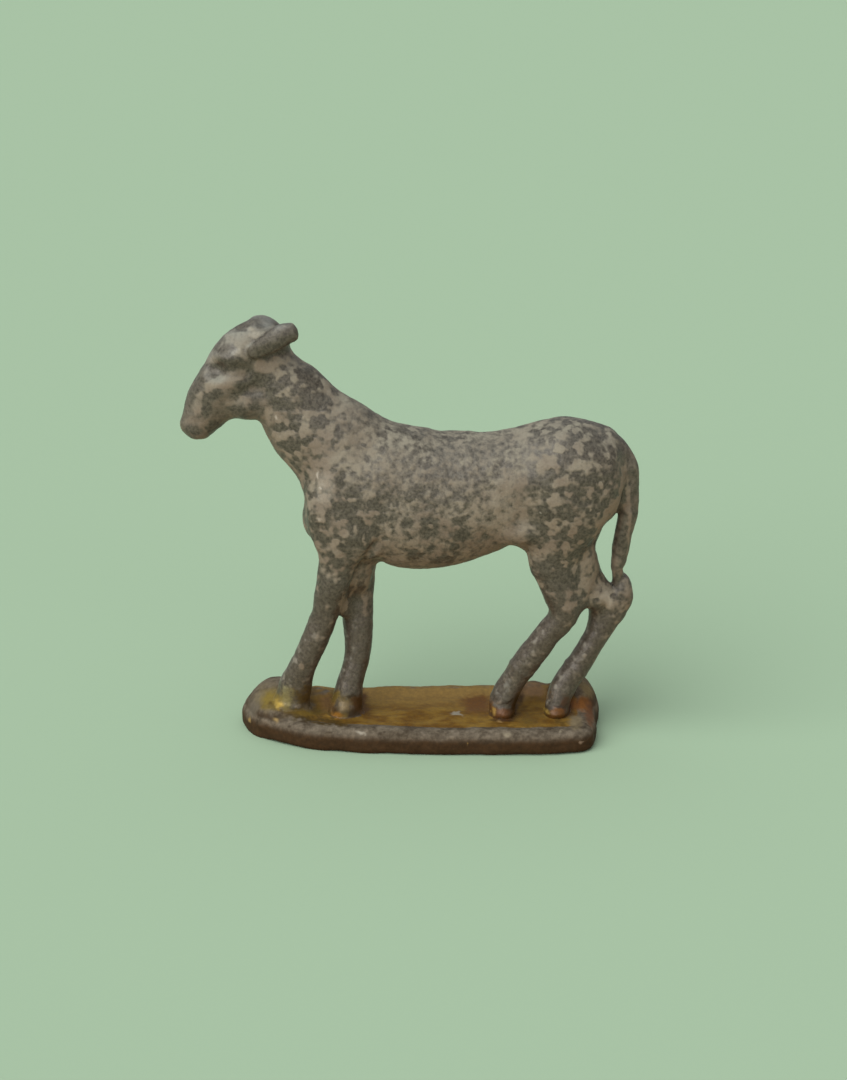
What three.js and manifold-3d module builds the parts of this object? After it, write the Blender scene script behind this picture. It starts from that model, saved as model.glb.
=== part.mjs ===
// A small cast-metal goat walking on a slab base, put together from separate castings:
// the limbs, the tail and the head carry round spigots that stand in sockets, the ears are let
// into pockets, and every seat leaves room for a film of solder.
//
// Millimetres, +Z up. The head looks along -X and the near side faces -Y. The origin is the
// middle of the base's underside. Heights in the figure are measured from the hoof soles.
import * as THREE from "three";
import { mergeVertices } from "three/addons/utils/BufferGeometryUtils.js";
import Module from "manifold-3d";

const wasm = await Module();
wasm.setup();

// Seats between castings
const SOLDER_GAP = 0.2; // film of solder in every seat
const SPIGOT_ROOT = 0.6; // how deep a spigot is rooted in its own casting

// Stance
const WHEELBASE = 21.1; // middle of the fore pair of hooves to middle of the hind pair
const FORE_STRIDE = 6.3; // near fore hoof ahead of the far one
const HIND_STRIDE = 6.5; // far hind hoof behind the near one
const FORE_STEP = 1.0; // near fore hoof above the others
const TRACK = 4.8; // near legs to far legs, across, where they leave the trunk
const HOOF_TRACK = 0.2; // near hooves to far hooves, across
const FIGURE_OFFSET = -1.4; // middle of the figure from the middle of the base, across

// Base
const BASE_THICKNESS = 2.5;
const BASE_WIDTH = 13.5; // across, at the tail end
const BASE_HEAD_WIDTH = 5.2; // straight part of the head end, at the far side
const BASE_TAPER = 17; // length over which the near edge draws in towards the head end
const BASE_HEAD_MARGIN = 4.4; // from the leading fore hoof's middle to the head end
const BASE_TAIL_MARGIN = 4.35; // from the far hind hoof's middle to the tail end
const BASE_CORNER = 2.6; // plan radius of the four corners
const BASE_EDGE_ROUND = 0.8; // cast edges, rounded over
const COLLAR_SPREAD = 0.7; // how far the low collar round a hoof spreads past it
const COLLAR_HEIGHT = 0.6;
const SWELL_SINK = 1.3; // how deep a swelling of the ground is rooted in the slab
const HEAD_SWELL_INSET = 3.2; // middle of the swelling at the head end, from that end
const HEAD_SWELL_LENGTH = 8.6;
const HEAD_SWELL_WIDTH = 11.0;
const HEAD_SWELL_HEIGHT = 2.4;
const TAIL_SWELL_INSET = 1.9; // middle of the swelling at the tail end, from that end
const TAIL_SWELL_LENGTH = 7.6;
const TAIL_SWELL_WIDTH = 9.0;
const TAIL_SWELL_HEIGHT = 2.4;
const FOOT_SPIGOT_DIAMETER = 1.6;
const FOOT_SPIGOT_LENGTH = 1.4;

// Trunk
const CHEST_OVERHANG = 1.0; // chest ahead of the middle of the fore hooves
const RUMP_OVERHANG = 9.85; // rump behind the middle of the hind hooves
const WITHERS_HEIGHT = 30.4;
const BACK_HEIGHT = 29.6;
const CROUP_HEIGHT = 31.1;
const BRISKET_HEIGHT = 16.4;
const BELLY_HEIGHT = 15.4;
const FLANK_HEIGHT = 18.5;
const BRISKET_RISE = 1.4; // brisket's front end above its lowest point
const CHEST_DROP = 1.6; // top of the chest below the withers
const RUMP_DROP = 1.1; // top of the rump below the croup
const RUMP_TUCK = 2.4; // underside of the rump above the flank
const SHOULDER_LEAD = 0.3; // middle of the shoulder ahead of the elbow
const HAUNCH_TRAIL = 0.7; // middle of the haunch behind the stifle
const CHEST_WIDTH = 7.4;
const BARREL_WIDTH = 9.8;
const RUMP_WIDTH = 8.8;

// Neck
const NECK_BASE_X = -7.6;
const NECK_BASE_HEIGHT = 27.4;
const NECK_LENGTH = 9.2; // from its base to the throat
const NECK_PITCH = 49.5; // degrees above the horizontal, on average
const NECK_ARCH = 13; // degrees by which the upper half is steeper than the lower
const NECK_BASE_DEPTH = 10.4;
const NECK_BASE_WIDTH = 7.0;
const THROAT_DEPTH = 7.2;
const THROAT_WIDTH = 5.0;
const NECK_SPIGOT_DIAMETER = 3.6;
const NECK_SPIGOT_LENGTH = 4.0;

// Head
const NAPE_RISE = 4.75; // from the throat up to the nape
const SKULL_LENGTH = 5.6; // nape to the eyes
const SKULL_PITCH = 41; // degrees below the horizontal
const MUZZLE_LENGTH = 6.0; // eyes to the nostrils
const MUZZLE_PITCH = 60;
const POLL_DEPTH = 5.2;
const POLL_WIDTH = 4.4;
const FOREHEAD_DEPTH = 6.25;
const CHEEK_DEPTH = 5.5;
const CHEEK_WIDTH = 5.6;
const NOSE_DEPTH = 3.6;
const NOSE_WIDTH = 3.3;
const BROW_LENGTH = 3.4;
const BROW_DEPTH = 2.0;
const JOWL_DEPTH = 4.4; // the round of the cheek above the throat
const NEAR_EAR_LENGTH = 4.8;
const FAR_EAR_LENGTH = 3.3;
const EAR_DEPTH = 2.4; // height of the ear's leaf
const EAR_THICKNESS = 1.6;
const EAR_RISE = 0.7; // ear's root above the line of the skull
const NEAR_EAR_LIFT = 26; // degrees above the horizontal
const FAR_EAR_LIFT = 2;

// Limbs
const ELBOW_X = -7.45;
const ELBOW_HEIGHT = 14.3;
const FORE_SWING = 2.1; // near elbow ahead of the far one
const KNEE_HEIGHT = 8.7;
const KNEE_BEND = 0.65; // knee behind the line from elbow to hoof
const STIFLE_X = 13.9;
const STIFLE_HEIGHT = 17.6;
const HIND_SWING = 1.2; // far stifle behind the near one
const THIGH_TRAIL = 0.4; // top of the thigh behind the middle of the stifles
const HOCK_HEIGHT = 11.9;
const HOCK_SETBACK = 6.75; // hock behind its own hoof, on average
const HOCK_TRAIL = 0.65; // how much more than that in the leading leg, and less in the other
const PASTERN_HEIGHT = 3.0;
const HOOF_HEIGHT = 1.6;
const ELBOW_DEPTH = 3.4;
const GASKIN_DEPTH = 3.4;
const HOCK_DEPTH = 3.6;
const CANNON_DEPTH = 2.5;
const HOOF_LENGTH = 3.7;
const LEG_WIDTH = 2.7;
const HOOF_WIDTH = 3.1;
const HIND_WEB_HEIGHT = 11.4; // lowest point of the web of metal between the hind legs
const HIND_WEB_TRAIL = 1.5; // middle of the web behind the stifles
const HIND_WEB_WIDTH = 2.0;
const WEB_ROOT = 4.5; // how far up into the trunk a web is rooted
const LEG_SPIGOT_DIAMETER = 1.7;
const LEG_SPIGOT_LENGTH = 2.2;

// Tail
const TAIL_DEPTH = 1.9; // at its root, across the line of the tail
const TAIL_WIDTH = 2.0;
const TAIL_TIP_DEPTH = 1.0;
const TAIL_ROOT_DROP = 3.0; // seat of the tail's root below the croup
const TAIL_ROOT_INSET = 0.9; // and ahead of the rump
const TAIL_ROOT_RUN = 2.7; // length of the root inside the rump, along the back
const TAIL_ROOT_RISE = 1.2; // rise of the root over that length
const TAIL_BOW = 0.35; // how far the middle of the tail stands behind the rump
const TAIL_TUCK = 0.25; // how much of that is lost again below
const TAIL_SPIGOT_DIAMETER = 1.0;
const TAIL_SPIGOT_LENGTH = 1.5;

// Fineness of the facets
const TRUNK_SIDES = 20;
const LIMB_SIDES = 14;
const RINGS_PER_SPAN = 3;
const DOME_RINGS = 3;
const ROUND_SIDES = 16;

const WORLD_SIZE = 200; // a cutting block larger than the figure
const NEAR = -1;
const FAR = 1;
const UP = new THREE.Vector3(0, 0, 1);
const ACROSS = new THREE.Vector3(0, 1, 0);
const radians = THREE.MathUtils.degToRad;
const lerp = THREE.MathUtils.lerp;

// Solids: three.js geometry to a closed body and back

function solid(geometry) {
  const bare = geometry.clone();
  bare.deleteAttribute("normal");
  bare.deleteAttribute("uv");
  const merged = mergeVertices(bare, 1e-4);
  const triVerts = new Uint32Array(merged.index.array);
  const vertProperties = merged.attributes.position.array;
  return new wasm.Manifold(new wasm.Mesh({ numProp: 3, vertProperties, triVerts }));
}

function geometryOf(body) {
  const mesh = body.getMesh();
  const geometry = new THREE.BufferGeometry();
  geometry.setAttribute("position", new THREE.BufferAttribute(mesh.vertProperties, 3));
  geometry.setIndex(new THREE.BufferAttribute(mesh.triVerts, 1));
  const faceted = geometry.toNonIndexed();
  faceted.computeVertexNormals();
  return faceted;
}

function joined(bodies) {
  return bodies.reduce((whole, body) => whole.add(body));
}

// The space on the far side of a plane, as a block.
function halfSpace(point, normal) {
  const block = new THREE.BoxGeometry(WORLD_SIZE, WORLD_SIZE, WORLD_SIZE);
  block.translate(0, 0, WORLD_SIZE / 2);
  block.applyQuaternion(new THREE.Quaternion().setFromUnitVectors(UP, normal));
  return solid(block.translate(point.x, point.y, point.z));
}

// A round bar from one point to another.
function bar(start, end, diameter) {
  const run = end.clone().sub(start);
  const length = run.length();
  const cylinder = new THREE.CylinderGeometry(diameter / 2, diameter / 2, length, ROUND_SIDES);
  cylinder.translate(0, length / 2, 0);
  cylinder.applyQuaternion(new THREE.Quaternion().setFromUnitVectors(ACROSS, run.normalize()));
  return solid(cylinder.translate(start.x, start.y, start.z));
}

function ellipsoid(centre, radii) {
  const ball = new THREE.SphereGeometry(1, TRUNK_SIDES, TRUNK_SIDES / 2);
  ball.rotateX(Math.PI / 2);
  ball.scale(radii.x, radii.y, radii.z);
  return solid(ball.translate(centre.x, centre.y, centre.z));
}

// Spigots: `out` points from the casting that carries the spigot into the one that holds it

function spigot({ point, out, diameter, length }) {
  const root = point.clone().addScaledVector(out, -SPIGOT_ROOT);
  return bar(root, point.clone().addScaledVector(out, length), diameter);
}

function socket({ point, out, diameter, length }) {
  const mouth = point.clone().addScaledVector(out, -SPIGOT_ROOT);
  const floor = point.clone().addScaledVector(out, length + SOLDER_GAP);
  return bar(mouth, floor, diameter + 2 * SOLDER_GAP);
}

// Swept forms: oval sections strung square on a smooth spine

function station(x, y, z, depth, width) {
  return { centre: new THREE.Vector3(x, y, z), depth, width };
}

function form(stations) {
  const spine = new THREE.CatmullRomCurve3(stations.map((s) => s.centre));
  const girths = stations.map((s) => new THREE.Vector3(s.depth / 2, s.width / 2, 0));
  const girth = new THREE.CatmullRomCurve3(girths);
  const last = stations.length - 1;

  // The section at a station number, which may fall between two stations.
  function section(number) {
    const t = number / last;
    const along = spine.getTangent(t);
    const across = ACROSS.clone().addScaledVector(along, -along.y).normalize();
    const deep = along.clone().cross(across);
    const size = girth.getPoint(t);
    return { centre: spine.getPoint(t), along, across, deep, depth: size.x, width: size.y };
  }

  // The station number a given distance further along the spine.
  function beyond(number, distance) {
    const step = 0.01;
    const here = spine.getPoint(number / last);
    const there = spine.getPoint((number + step) / last);
    return number + (step * distance) / here.distanceTo(there);
  }

  return { last, section, beyond };
}

// A section moved along its own direction and drawn in to a share of its size.
function shifted(section, distance, share) {
  const centre = section.centre.clone().addScaledVector(section.along, distance);
  return { ...section, centre, depth: section.depth * share, width: section.width * share };
}

function swollen(section, grow) {
  return { ...section, depth: section.depth + grow, width: section.width + grow };
}

function domeRings(end, length, direction) {
  const rings = [];
  for (let i = 1; i < DOME_RINGS; i++) {
    const angle = (Math.PI / 2) * (i / DOME_RINGS);
    rings.push(shifted(end, direction * length * Math.sin(angle), Math.cos(angle)));
  }
  return rings;
}

// The closed skin of a form, or of a stretch of it. An end is flat unless it has a dome.
// `grow` swells the skin all round, for cutting a seat that clears it.
function skin(shape, options = {}) {
  const { from = 0, to = shape.last, sides = LIMB_SIDES, grow = 0 } = options;
  const { startDome = 0, endDome = 0 } = options;
  const count = Math.max(1, Math.round((to - from) * RINGS_PER_SPAN));
  const body = [];
  for (let i = 0; i <= count; i++) body.push(swollen(shape.section(lerp(from, to, i / count)), grow));
  const first = body[0];
  const final = body[body.length - 1];
  const startReach = startDome ? startDome + grow : 0;
  const endReach = endDome ? endDome + grow : 0;
  const rings = [...body];
  if (startDome) rings.unshift(...domeRings(first, startReach, -1).reverse());
  if (endDome) rings.push(...domeRings(final, endReach, 1));
  const startPole = first.centre.clone().addScaledVector(first.along, -startReach);
  const endPole = final.centre.clone().addScaledVector(final.along, endReach);
  return solid(stitched(rings, sides, startPole, endPole));
}

function stitched(rings, sides, startPole, endPole) {
  const positions = [];
  for (const ring of rings) {
    for (let j = 0; j < sides; j++) {
      const angle = (2 * Math.PI * j) / sides;
      const point = ring.centre.clone();
      point.addScaledVector(ring.deep, ring.depth * Math.cos(angle));
      point.addScaledVector(ring.across, ring.width * Math.sin(angle));
      positions.push(point.x, point.y, point.z);
    }
  }
  positions.push(...startPole.toArray(), ...endPole.toArray());
  const startIndex = rings.length * sides;
  const endIndex = startIndex + 1;
  const lastRing = (rings.length - 1) * sides;
  const faces = [];
  for (let j = 0; j < sides; j++) {
    const next = (j + 1) % sides;
    faces.push(startIndex, j, next);
    faces.push(endIndex, lastRing + next, lastRing + j);
    for (let i = 0; i < lastRing; i += sides) {
      faces.push(i + j, i + sides + j, i + next);
      faces.push(i + next, i + sides + j, i + sides + next);
    }
  }
  const geometry = new THREE.BufferGeometry();
  geometry.setAttribute("position", new THREE.Float32BufferAttribute(positions, 3));
  geometry.setIndex(faces);
  return geometry;
}

// Trunk: a barrel of upright oval sections between the chest and the rump

const chestX = -WHEELBASE / 2 - CHEST_OVERHANG;
const rumpX = WHEELBASE / 2 + RUMP_OVERHANG;

function trunkSection(share, top, bottom, width) {
  return station(lerp(chestX, rumpX, share), 0, (top + bottom) / 2, top - bottom, width);
}

const bosomTop = lerp(BRISKET_HEIGHT, WITHERS_HEIGHT, 0.66);
const barrel = form([
  trunkSection(0.06, bosomTop, BRISKET_HEIGHT + BRISKET_RISE, CHEST_WIDTH * 0.86),
  trunkSection(0.14, WITHERS_HEIGHT - CHEST_DROP, BRISKET_HEIGHT, CHEST_WIDTH),
  trunkSection(0.26, WITHERS_HEIGHT, lerp(BRISKET_HEIGHT, BELLY_HEIGHT, 0.6), BARREL_WIDTH * 0.95),
  trunkSection(0.4, lerp(WITHERS_HEIGHT, BACK_HEIGHT, 0.7), BELLY_HEIGHT, BARREL_WIDTH),
  trunkSection(0.55, BACK_HEIGHT, lerp(BELLY_HEIGHT, FLANK_HEIGHT, 0.5), BARREL_WIDTH * 0.96),
  trunkSection(0.67, lerp(BACK_HEIGHT, CROUP_HEIGHT, 0.25), FLANK_HEIGHT, RUMP_WIDTH),
  trunkSection(0.82, CROUP_HEIGHT, FLANK_HEIGHT + RUMP_TUCK / 2, RUMP_WIDTH),
  trunkSection(0.94, CROUP_HEIGHT - RUMP_DROP, FLANK_HEIGHT + RUMP_TUCK, RUMP_WIDTH * 0.8),
]);
const chestDome = (rumpX - chestX) * 0.06;

// Neck and head: one bent spine each, the head nodding down from the nape

function heading(pitch) {
  return new THREE.Vector3(-Math.cos(radians(pitch)), 0, Math.sin(radians(pitch)));
}

const neckBase = new THREE.Vector3(NECK_BASE_X, 0, NECK_BASE_HEIGHT);
const lowerNeck = heading(NECK_PITCH - NECK_ARCH / 2);
const upperNeck = heading(NECK_PITCH + NECK_ARCH / 2);
const midNeck = neckBase.clone().addScaledVector(lowerNeck, NECK_LENGTH / 2);
const throat = midNeck.clone().addScaledVector(upperNeck, NECK_LENGTH / 2);
const nape = throat.clone().addScaledVector(heading(NECK_PITCH + 2 * NECK_ARCH), NAPE_RISE);
const eyes = nape.clone().addScaledVector(heading(-SKULL_PITCH), SKULL_LENGTH);
const nose = eyes.clone().addScaledVector(heading(-MUZZLE_PITCH), MUZZLE_LENGTH);

function onSpine(point, depth, width) {
  return station(point.x, point.y, point.z, depth, width);
}

const NECK_JOINT = 1; // number of the station where the neck is cut
const neck = form([
  onSpine(neckBase.clone().addScaledVector(lowerNeck, -NECK_LENGTH / 2), NECK_BASE_DEPTH, NECK_BASE_WIDTH),
  onSpine(neckBase, NECK_BASE_DEPTH, NECK_BASE_WIDTH),
  onSpine(midNeck, lerp(NECK_BASE_DEPTH, THROAT_DEPTH, 0.55), lerp(NECK_BASE_WIDTH, THROAT_WIDTH, 0.5)),
  onSpine(throat, THROAT_DEPTH, THROAT_WIDTH),
  onSpine(throat.clone().lerp(nape, 0.45), lerp(THROAT_DEPTH, POLL_DEPTH, 0.95), THROAT_WIDTH * 0.9),
]);

const midMuzzle = eyes.clone().lerp(nose, 0.55);
const head = form([
  onSpine(nape, POLL_DEPTH, POLL_WIDTH),
  onSpine(nape.clone().lerp(eyes, 0.5), FOREHEAD_DEPTH, lerp(POLL_WIDTH, CHEEK_WIDTH, 0.6)),
  onSpine(eyes, CHEEK_DEPTH, CHEEK_WIDTH),
  onSpine(midMuzzle, lerp(CHEEK_DEPTH, NOSE_DEPTH, 0.4), lerp(CHEEK_WIDTH, NOSE_WIDTH, 0.7)),
  onSpine(nose, NOSE_DEPTH, NOSE_WIDTH),
]);

// The brow is a level ridge that overhangs the eye, from the forehead back to the temple.
function brow(side) {
  function along(share, rise, spread, size) {
    const point = eyes.clone().addScaledVector(UP, CHEEK_DEPTH * rise);
    point.x += BROW_LENGTH * share;
    return onSpine(point.setY(side * CHEEK_WIDTH * spread), BROW_DEPTH * size, BROW_DEPTH * size);
  }
  const ridge = form([along(-0.32, 0.3, 0.15, 0.8), along(0.02, 0.34, 0.31, 1), along(0.5, 0.3, 0.36, 0.8)]);
  return skin(ridge, { startDome: BROW_DEPTH / 2, endDome: BROW_DEPTH / 2 });
}

function jowl() {
  const centre = throat.clone().lerp(eyes, 0.58);
  centre.z = nose.z + JOWL_DEPTH * 0.66;
  return ellipsoid(centre, { x: SKULL_LENGTH * 0.6, y: CHEEK_WIDTH * 0.42, z: JOWL_DEPTH / 2 });
}

function ear(side, lift, length) {
  const root = nape.clone().lerp(eyes, 0.36).setY(side * POLL_WIDTH * 0.5);
  root.z += EAR_RISE;
  const direction = heading(180 - lift);
  const sections = [
    [0, 0.62, 0],
    [0.5, 0.9, 0.14],
    [0.85, 1, 0.2],
  ].map(([share, size, flare]) => {
    const centre = root.clone().addScaledVector(direction, length * share);
    centre.y += side * length * flare;
    return onSpine(centre, EAR_DEPTH * size, EAR_THICKNESS * size);
  });
  return form(sections);
}
const earDomes = { startDome: EAR_DEPTH * 0.3, endDome: EAR_DEPTH * 0.28 };

// Limbs: from inside the trunk down to a sole that is cut flat, drawing together on the way

// How far out to one side a leg is at a height, between its hoof and its root in the trunk.
function spread(side, height, root) {
  return (side / 2) * lerp(HOOF_TRACK, TRACK, height / root);
}

const ELBOW_JOINT = 1; // number of the station where a foreleg is cut
function foreLimb(side, sole) {
  const hoofX = -WHEELBASE / 2 + (side * FORE_STRIDE) / 2;
  const elbowX = ELBOW_X + (side * FORE_SWING) / 2;
  const kneeX = lerp(hoofX, elbowX, (KNEE_HEIGHT - sole) / (ELBOW_HEIGHT - sole)) + KNEE_BEND;
  const pasternX = lerp(hoofX, kneeX, PASTERN_HEIGHT / (KNEE_HEIGHT - sole));
  const hoofTopX = lerp(hoofX, kneeX, HOOF_HEIGHT / (KNEE_HEIGHT - sole));
  const rootZ = lerp(ELBOW_HEIGHT, WITHERS_HEIGHT, 0.35);
  const hoofTop = [lerp(CANNON_DEPTH, HOOF_LENGTH, 0.5), lerp(LEG_WIDTH, HOOF_WIDTH, 0.5)];
  function at(x, z, depth, width) {
    return station(x, spread(side, z, rootZ), z, depth, width);
  }
  return form([
    at(elbowX, rootZ, ELBOW_DEPTH * 1.5, LEG_WIDTH * 1.3),
    at(elbowX, ELBOW_HEIGHT, ELBOW_DEPTH, LEG_WIDTH * 1.05),
    at(kneeX, KNEE_HEIGHT, CANNON_DEPTH * 1.04, LEG_WIDTH),
    at(pasternX, sole + PASTERN_HEIGHT, CANNON_DEPTH, LEG_WIDTH * 0.95),
    at(hoofTopX, sole + HOOF_HEIGHT, ...hoofTop),
    at(hoofX, sole, HOOF_LENGTH, HOOF_WIDTH),
  ]);
}

const GASKIN_JOINT = 2; // number of the station where a hind leg is cut
const HOCK = 3; // number of the hock's station
function hindLimb(side) {
  const hoofX = WHEELBASE / 2 + (side * HIND_STRIDE) / 2;
  const hockX = hoofX + HOCK_SETBACK - side * HOCK_TRAIL;
  const stifleX = STIFLE_X + (side * HIND_SWING) / 2;
  const pasternX = lerp(hoofX, hockX, PASTERN_HEIGHT / HOCK_HEIGHT);
  const hoofTopX = lerp(hoofX, hockX, HOOF_HEIGHT / HOCK_HEIGHT);
  const gaskinX = lerp(stifleX, hockX, 0.24);
  const gaskinZ = lerp(STIFLE_HEIGHT, HOCK_HEIGHT, 0.55);
  const rootZ = lerp(STIFLE_HEIGHT, CROUP_HEIGHT, 0.45);
  const hoofTop = [lerp(CANNON_DEPTH, HOOF_LENGTH, 0.5), lerp(LEG_WIDTH, HOOF_WIDTH, 0.5)];
  function at(x, z, depth, width) {
    return station(x, spread(side, z, rootZ), z, depth, width);
  }
  return form([
    at(STIFLE_X + THIGH_TRAIL, rootZ, GASKIN_DEPTH * 2.4, LEG_WIDTH * 1.4),
    at(stifleX, STIFLE_HEIGHT, GASKIN_DEPTH * 1.55, LEG_WIDTH * 1.25),
    at(gaskinX, gaskinZ, GASKIN_DEPTH, LEG_WIDTH * 1.1),
    at(hockX, HOCK_HEIGHT, HOCK_DEPTH, LEG_WIDTH * 1.05),
    at(lerp(hoofX, hockX, 0.55), HOCK_HEIGHT * 0.55, CANNON_DEPTH, LEG_WIDTH * 0.95),
    at(pasternX, PASTERN_HEIGHT, CANNON_DEPTH, LEG_WIDTH * 0.95),
    at(hoofTopX, HOOF_HEIGHT, ...hoofTop),
    at(hoofX, 0, HOOF_LENGTH, HOOF_WIDTH),
  ]);
}

const limbs = {
  near_foreleg: { shape: foreLimb(NEAR, FORE_STEP), sole: FORE_STEP, cut: ELBOW_JOINT },
  far_foreleg: { shape: foreLimb(FAR, 0), sole: 0, cut: ELBOW_JOINT },
  near_hind_leg: { shape: hindLimb(NEAR), sole: 0, cut: GASKIN_JOINT },
  far_hind_leg: { shape: hindLimb(FAR), sole: 0, cut: GASKIN_JOINT },
};

function legSpigot({ shape, cut }) {
  const { centre, along } = shape.section(cut);
  const out = along.clone().negate();
  return { point: centre, out, diameter: LEG_SPIGOT_DIAMETER, length: LEG_SPIGOT_LENGTH };
}

function footSpigot({ shape }) {
  const sole = shape.section(shape.last).centre;
  const out = UP.clone().negate();
  return { point: sole, out, diameter: FOOT_SPIGOT_DIAMETER, length: FOOT_SPIGOT_LENGTH };
}

// The sole runs on below the hoof line before it is cut, so that a slanting leg still stands flat.
function legBody({ shape, sole, cut }, grow = 0) {
  const options = { from: shape.beyond(cut, SOLDER_GAP), endDome: HOOF_HEIGHT, grow };
  const floor = new THREE.Vector3(0, 0, sole - grow);
  return skin(shape, options).subtract(halfSpace(floor, UP.clone().negate()));
}

// Tail: leaves the rump along the line of the back and hangs down to the far hock

const TAIL_JOINT = 1; // number of the station where the tail is cut
const farHock = limbs.far_hind_leg.shape.section(HOCK);
const tailRootX = rumpX - TAIL_ROOT_INSET;
const tailRootZ = CROUP_HEIGHT - TAIL_ROOT_DROP;

// A height on the hanging part, as a share of the way from the croup down to the hock.
function hanging(share) {
  return lerp(CROUP_HEIGHT, HOCK_HEIGHT, share);
}

const tailLowX = rumpX + TAIL_BOW - TAIL_TUCK;
const tailEndX = lerp(rumpX, farHock.centre.x, 0.5);
const tailEndZ = HOCK_HEIGHT + HOCK_DEPTH * 0.62;
const tail = form([
  station(tailRootX - TAIL_ROOT_RUN, 0, tailRootZ - TAIL_ROOT_RISE, TAIL_DEPTH * 1.1, TAIL_WIDTH),
  station(tailRootX, 0, tailRootZ, TAIL_DEPTH * 1.1, TAIL_WIDTH),
  station(rumpX + TAIL_BOW, 0, hanging(0.32), TAIL_DEPTH, TAIL_WIDTH),
  station(tailLowX, farHock.centre.y * 0.2, hanging(0.53), TAIL_DEPTH * 0.9, TAIL_WIDTH * 0.95),
  station(tailEndX, farHock.centre.y * 0.6, hanging(0.75), TAIL_TIP_DEPTH * 1.15, TAIL_WIDTH * 0.8),
  station(farHock.centre.x, farHock.centre.y, tailEndZ, TAIL_TIP_DEPTH, TAIL_WIDTH * 0.6),
]);
const tailSection = tail.section(TAIL_JOINT);
const tailSpigot = {
  point: tailSection.centre,
  out: tailSection.along.clone().negate(),
  diameter: TAIL_SPIGOT_DIAMETER,
  length: TAIL_SPIGOT_LENGTH,
};

function tailBody(grow = 0) {
  return skin(tail, { from: tail.beyond(TAIL_JOINT, SOLDER_GAP), endDome: TAIL_TIP_DEPTH / 2, grow });
}

// The castings

const neckSection = neck.section(NECK_JOINT);
const neckSpigot = {
  point: neckSection.centre,
  out: neckSection.along.clone().negate(),
  diameter: NECK_SPIGOT_DIAMETER,
  length: NECK_SPIGOT_LENGTH,
};

function shoulder(side) {
  const height = lerp(ELBOW_HEIGHT, WITHERS_HEIGHT, 0.46);
  const centre = new THREE.Vector3(ELBOW_X - SHOULDER_LEAD, side * CHEST_WIDTH * 0.36, height);
  const half = (WITHERS_HEIGHT - ELBOW_HEIGHT) * 0.34;
  return ellipsoid(centre, { x: ELBOW_DEPTH * 1.05, y: CHEST_WIDTH * 0.2, z: half });
}

function haunch(side) {
  const height = lerp(STIFLE_HEIGHT, CROUP_HEIGHT, 0.45);
  const centre = new THREE.Vector3(STIFLE_X + HAUNCH_TRAIL, side * RUMP_WIDTH * 0.28, height);
  const half = (CROUP_HEIGHT - STIFLE_HEIGHT) * 0.44;
  return ellipsoid(centre, { x: GASKIN_DEPTH * 1.15, y: RUMP_WIDTH * 0.25, z: half });
}

// A web of metal that the mould left between the hind legs.
function web() {
  const highest = FLANK_HEIGHT + WEB_ROOT;
  const centre = new THREE.Vector3(STIFLE_X + HIND_WEB_TRAIL, 0, (HIND_WEB_HEIGHT + highest) / 2);
  const half = (highest - HIND_WEB_HEIGHT) / 2;
  return ellipsoid(centre, { x: GASKIN_DEPTH * 0.65, y: HIND_WEB_WIDTH / 2, z: half });
}

function torso() {
  const masses = [skin(barrel, { sides: TRUNK_SIDES, startDome: chestDome, endDome: chestDome })];
  for (const side of [NEAR, FAR]) masses.push(shoulder(side), haunch(side));
  for (const { shape, cut } of Object.values(limbs)) masses.push(skin(shape, { to: cut }));
  masses.push(web());
  masses.push(skin(neck, { to: NECK_JOINT, sides: TRUNK_SIDES }));
  masses.push(skin(tail, { to: TAIL_JOINT, startDome: TAIL_DEPTH / 2 }));
  let body = joined(masses).subtract(halfSpace(neckSection.centre, neckSection.along));
  body = body.subtract(tailBody(SOLDER_GAP)).subtract(socket(tailSpigot)).subtract(socket(neckSpigot));
  for (const limb of Object.values(limbs)) {
    body = body.subtract(legBody(limb, SOLDER_GAP)).subtract(socket(legSpigot(limb)));
  }
  return body;
}

const ears = {
  near_ear: ear(NEAR, NEAR_EAR_LIFT, NEAR_EAR_LENGTH),
  far_ear: ear(FAR, FAR_EAR_LIFT, FAR_EAR_LENGTH),
};

function headAndNeck() {
  const neckTop = { endDome: POLL_DEPTH * 0.3, sides: TRUNK_SIDES };
  const neckBody = skin(neck, { from: neck.beyond(NECK_JOINT, SOLDER_GAP), ...neckTop });
  const headEnds = { startDome: POLL_DEPTH * 0.36, endDome: NOSE_DEPTH * 0.34, sides: TRUNK_SIDES };
  const headBody = skin(head, headEnds);
  let body = joined([neckBody, headBody, jowl(), brow(NEAR), brow(FAR), spigot(neckSpigot)]);
  for (const shape of Object.values(ears)) {
    body = body.subtract(skin(shape, { ...earDomes, grow: SOLDER_GAP }));
  }
  return body;
}

function leg(limb) {
  return joined([legBody(limb), spigot(legSpigot(limb)), spigot(footSpigot(limb))]);
}

// The base in plan: a slab with round corners, its near edge drawn in towards the head. The
// outline is inside the finished edge by the rounding.
const headX = -(WHEELBASE + FORE_STRIDE) / 2 - BASE_HEAD_MARGIN + BASE_EDGE_ROUND;
const tailX = (WHEELBASE + HIND_STRIDE) / 2 + BASE_TAIL_MARGIN - BASE_EDGE_ROUND;
const farY = BASE_WIDTH / 2 - BASE_EDGE_ROUND;
const hoofLevel = BASE_THICKNESS + SOLDER_GAP;

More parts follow.
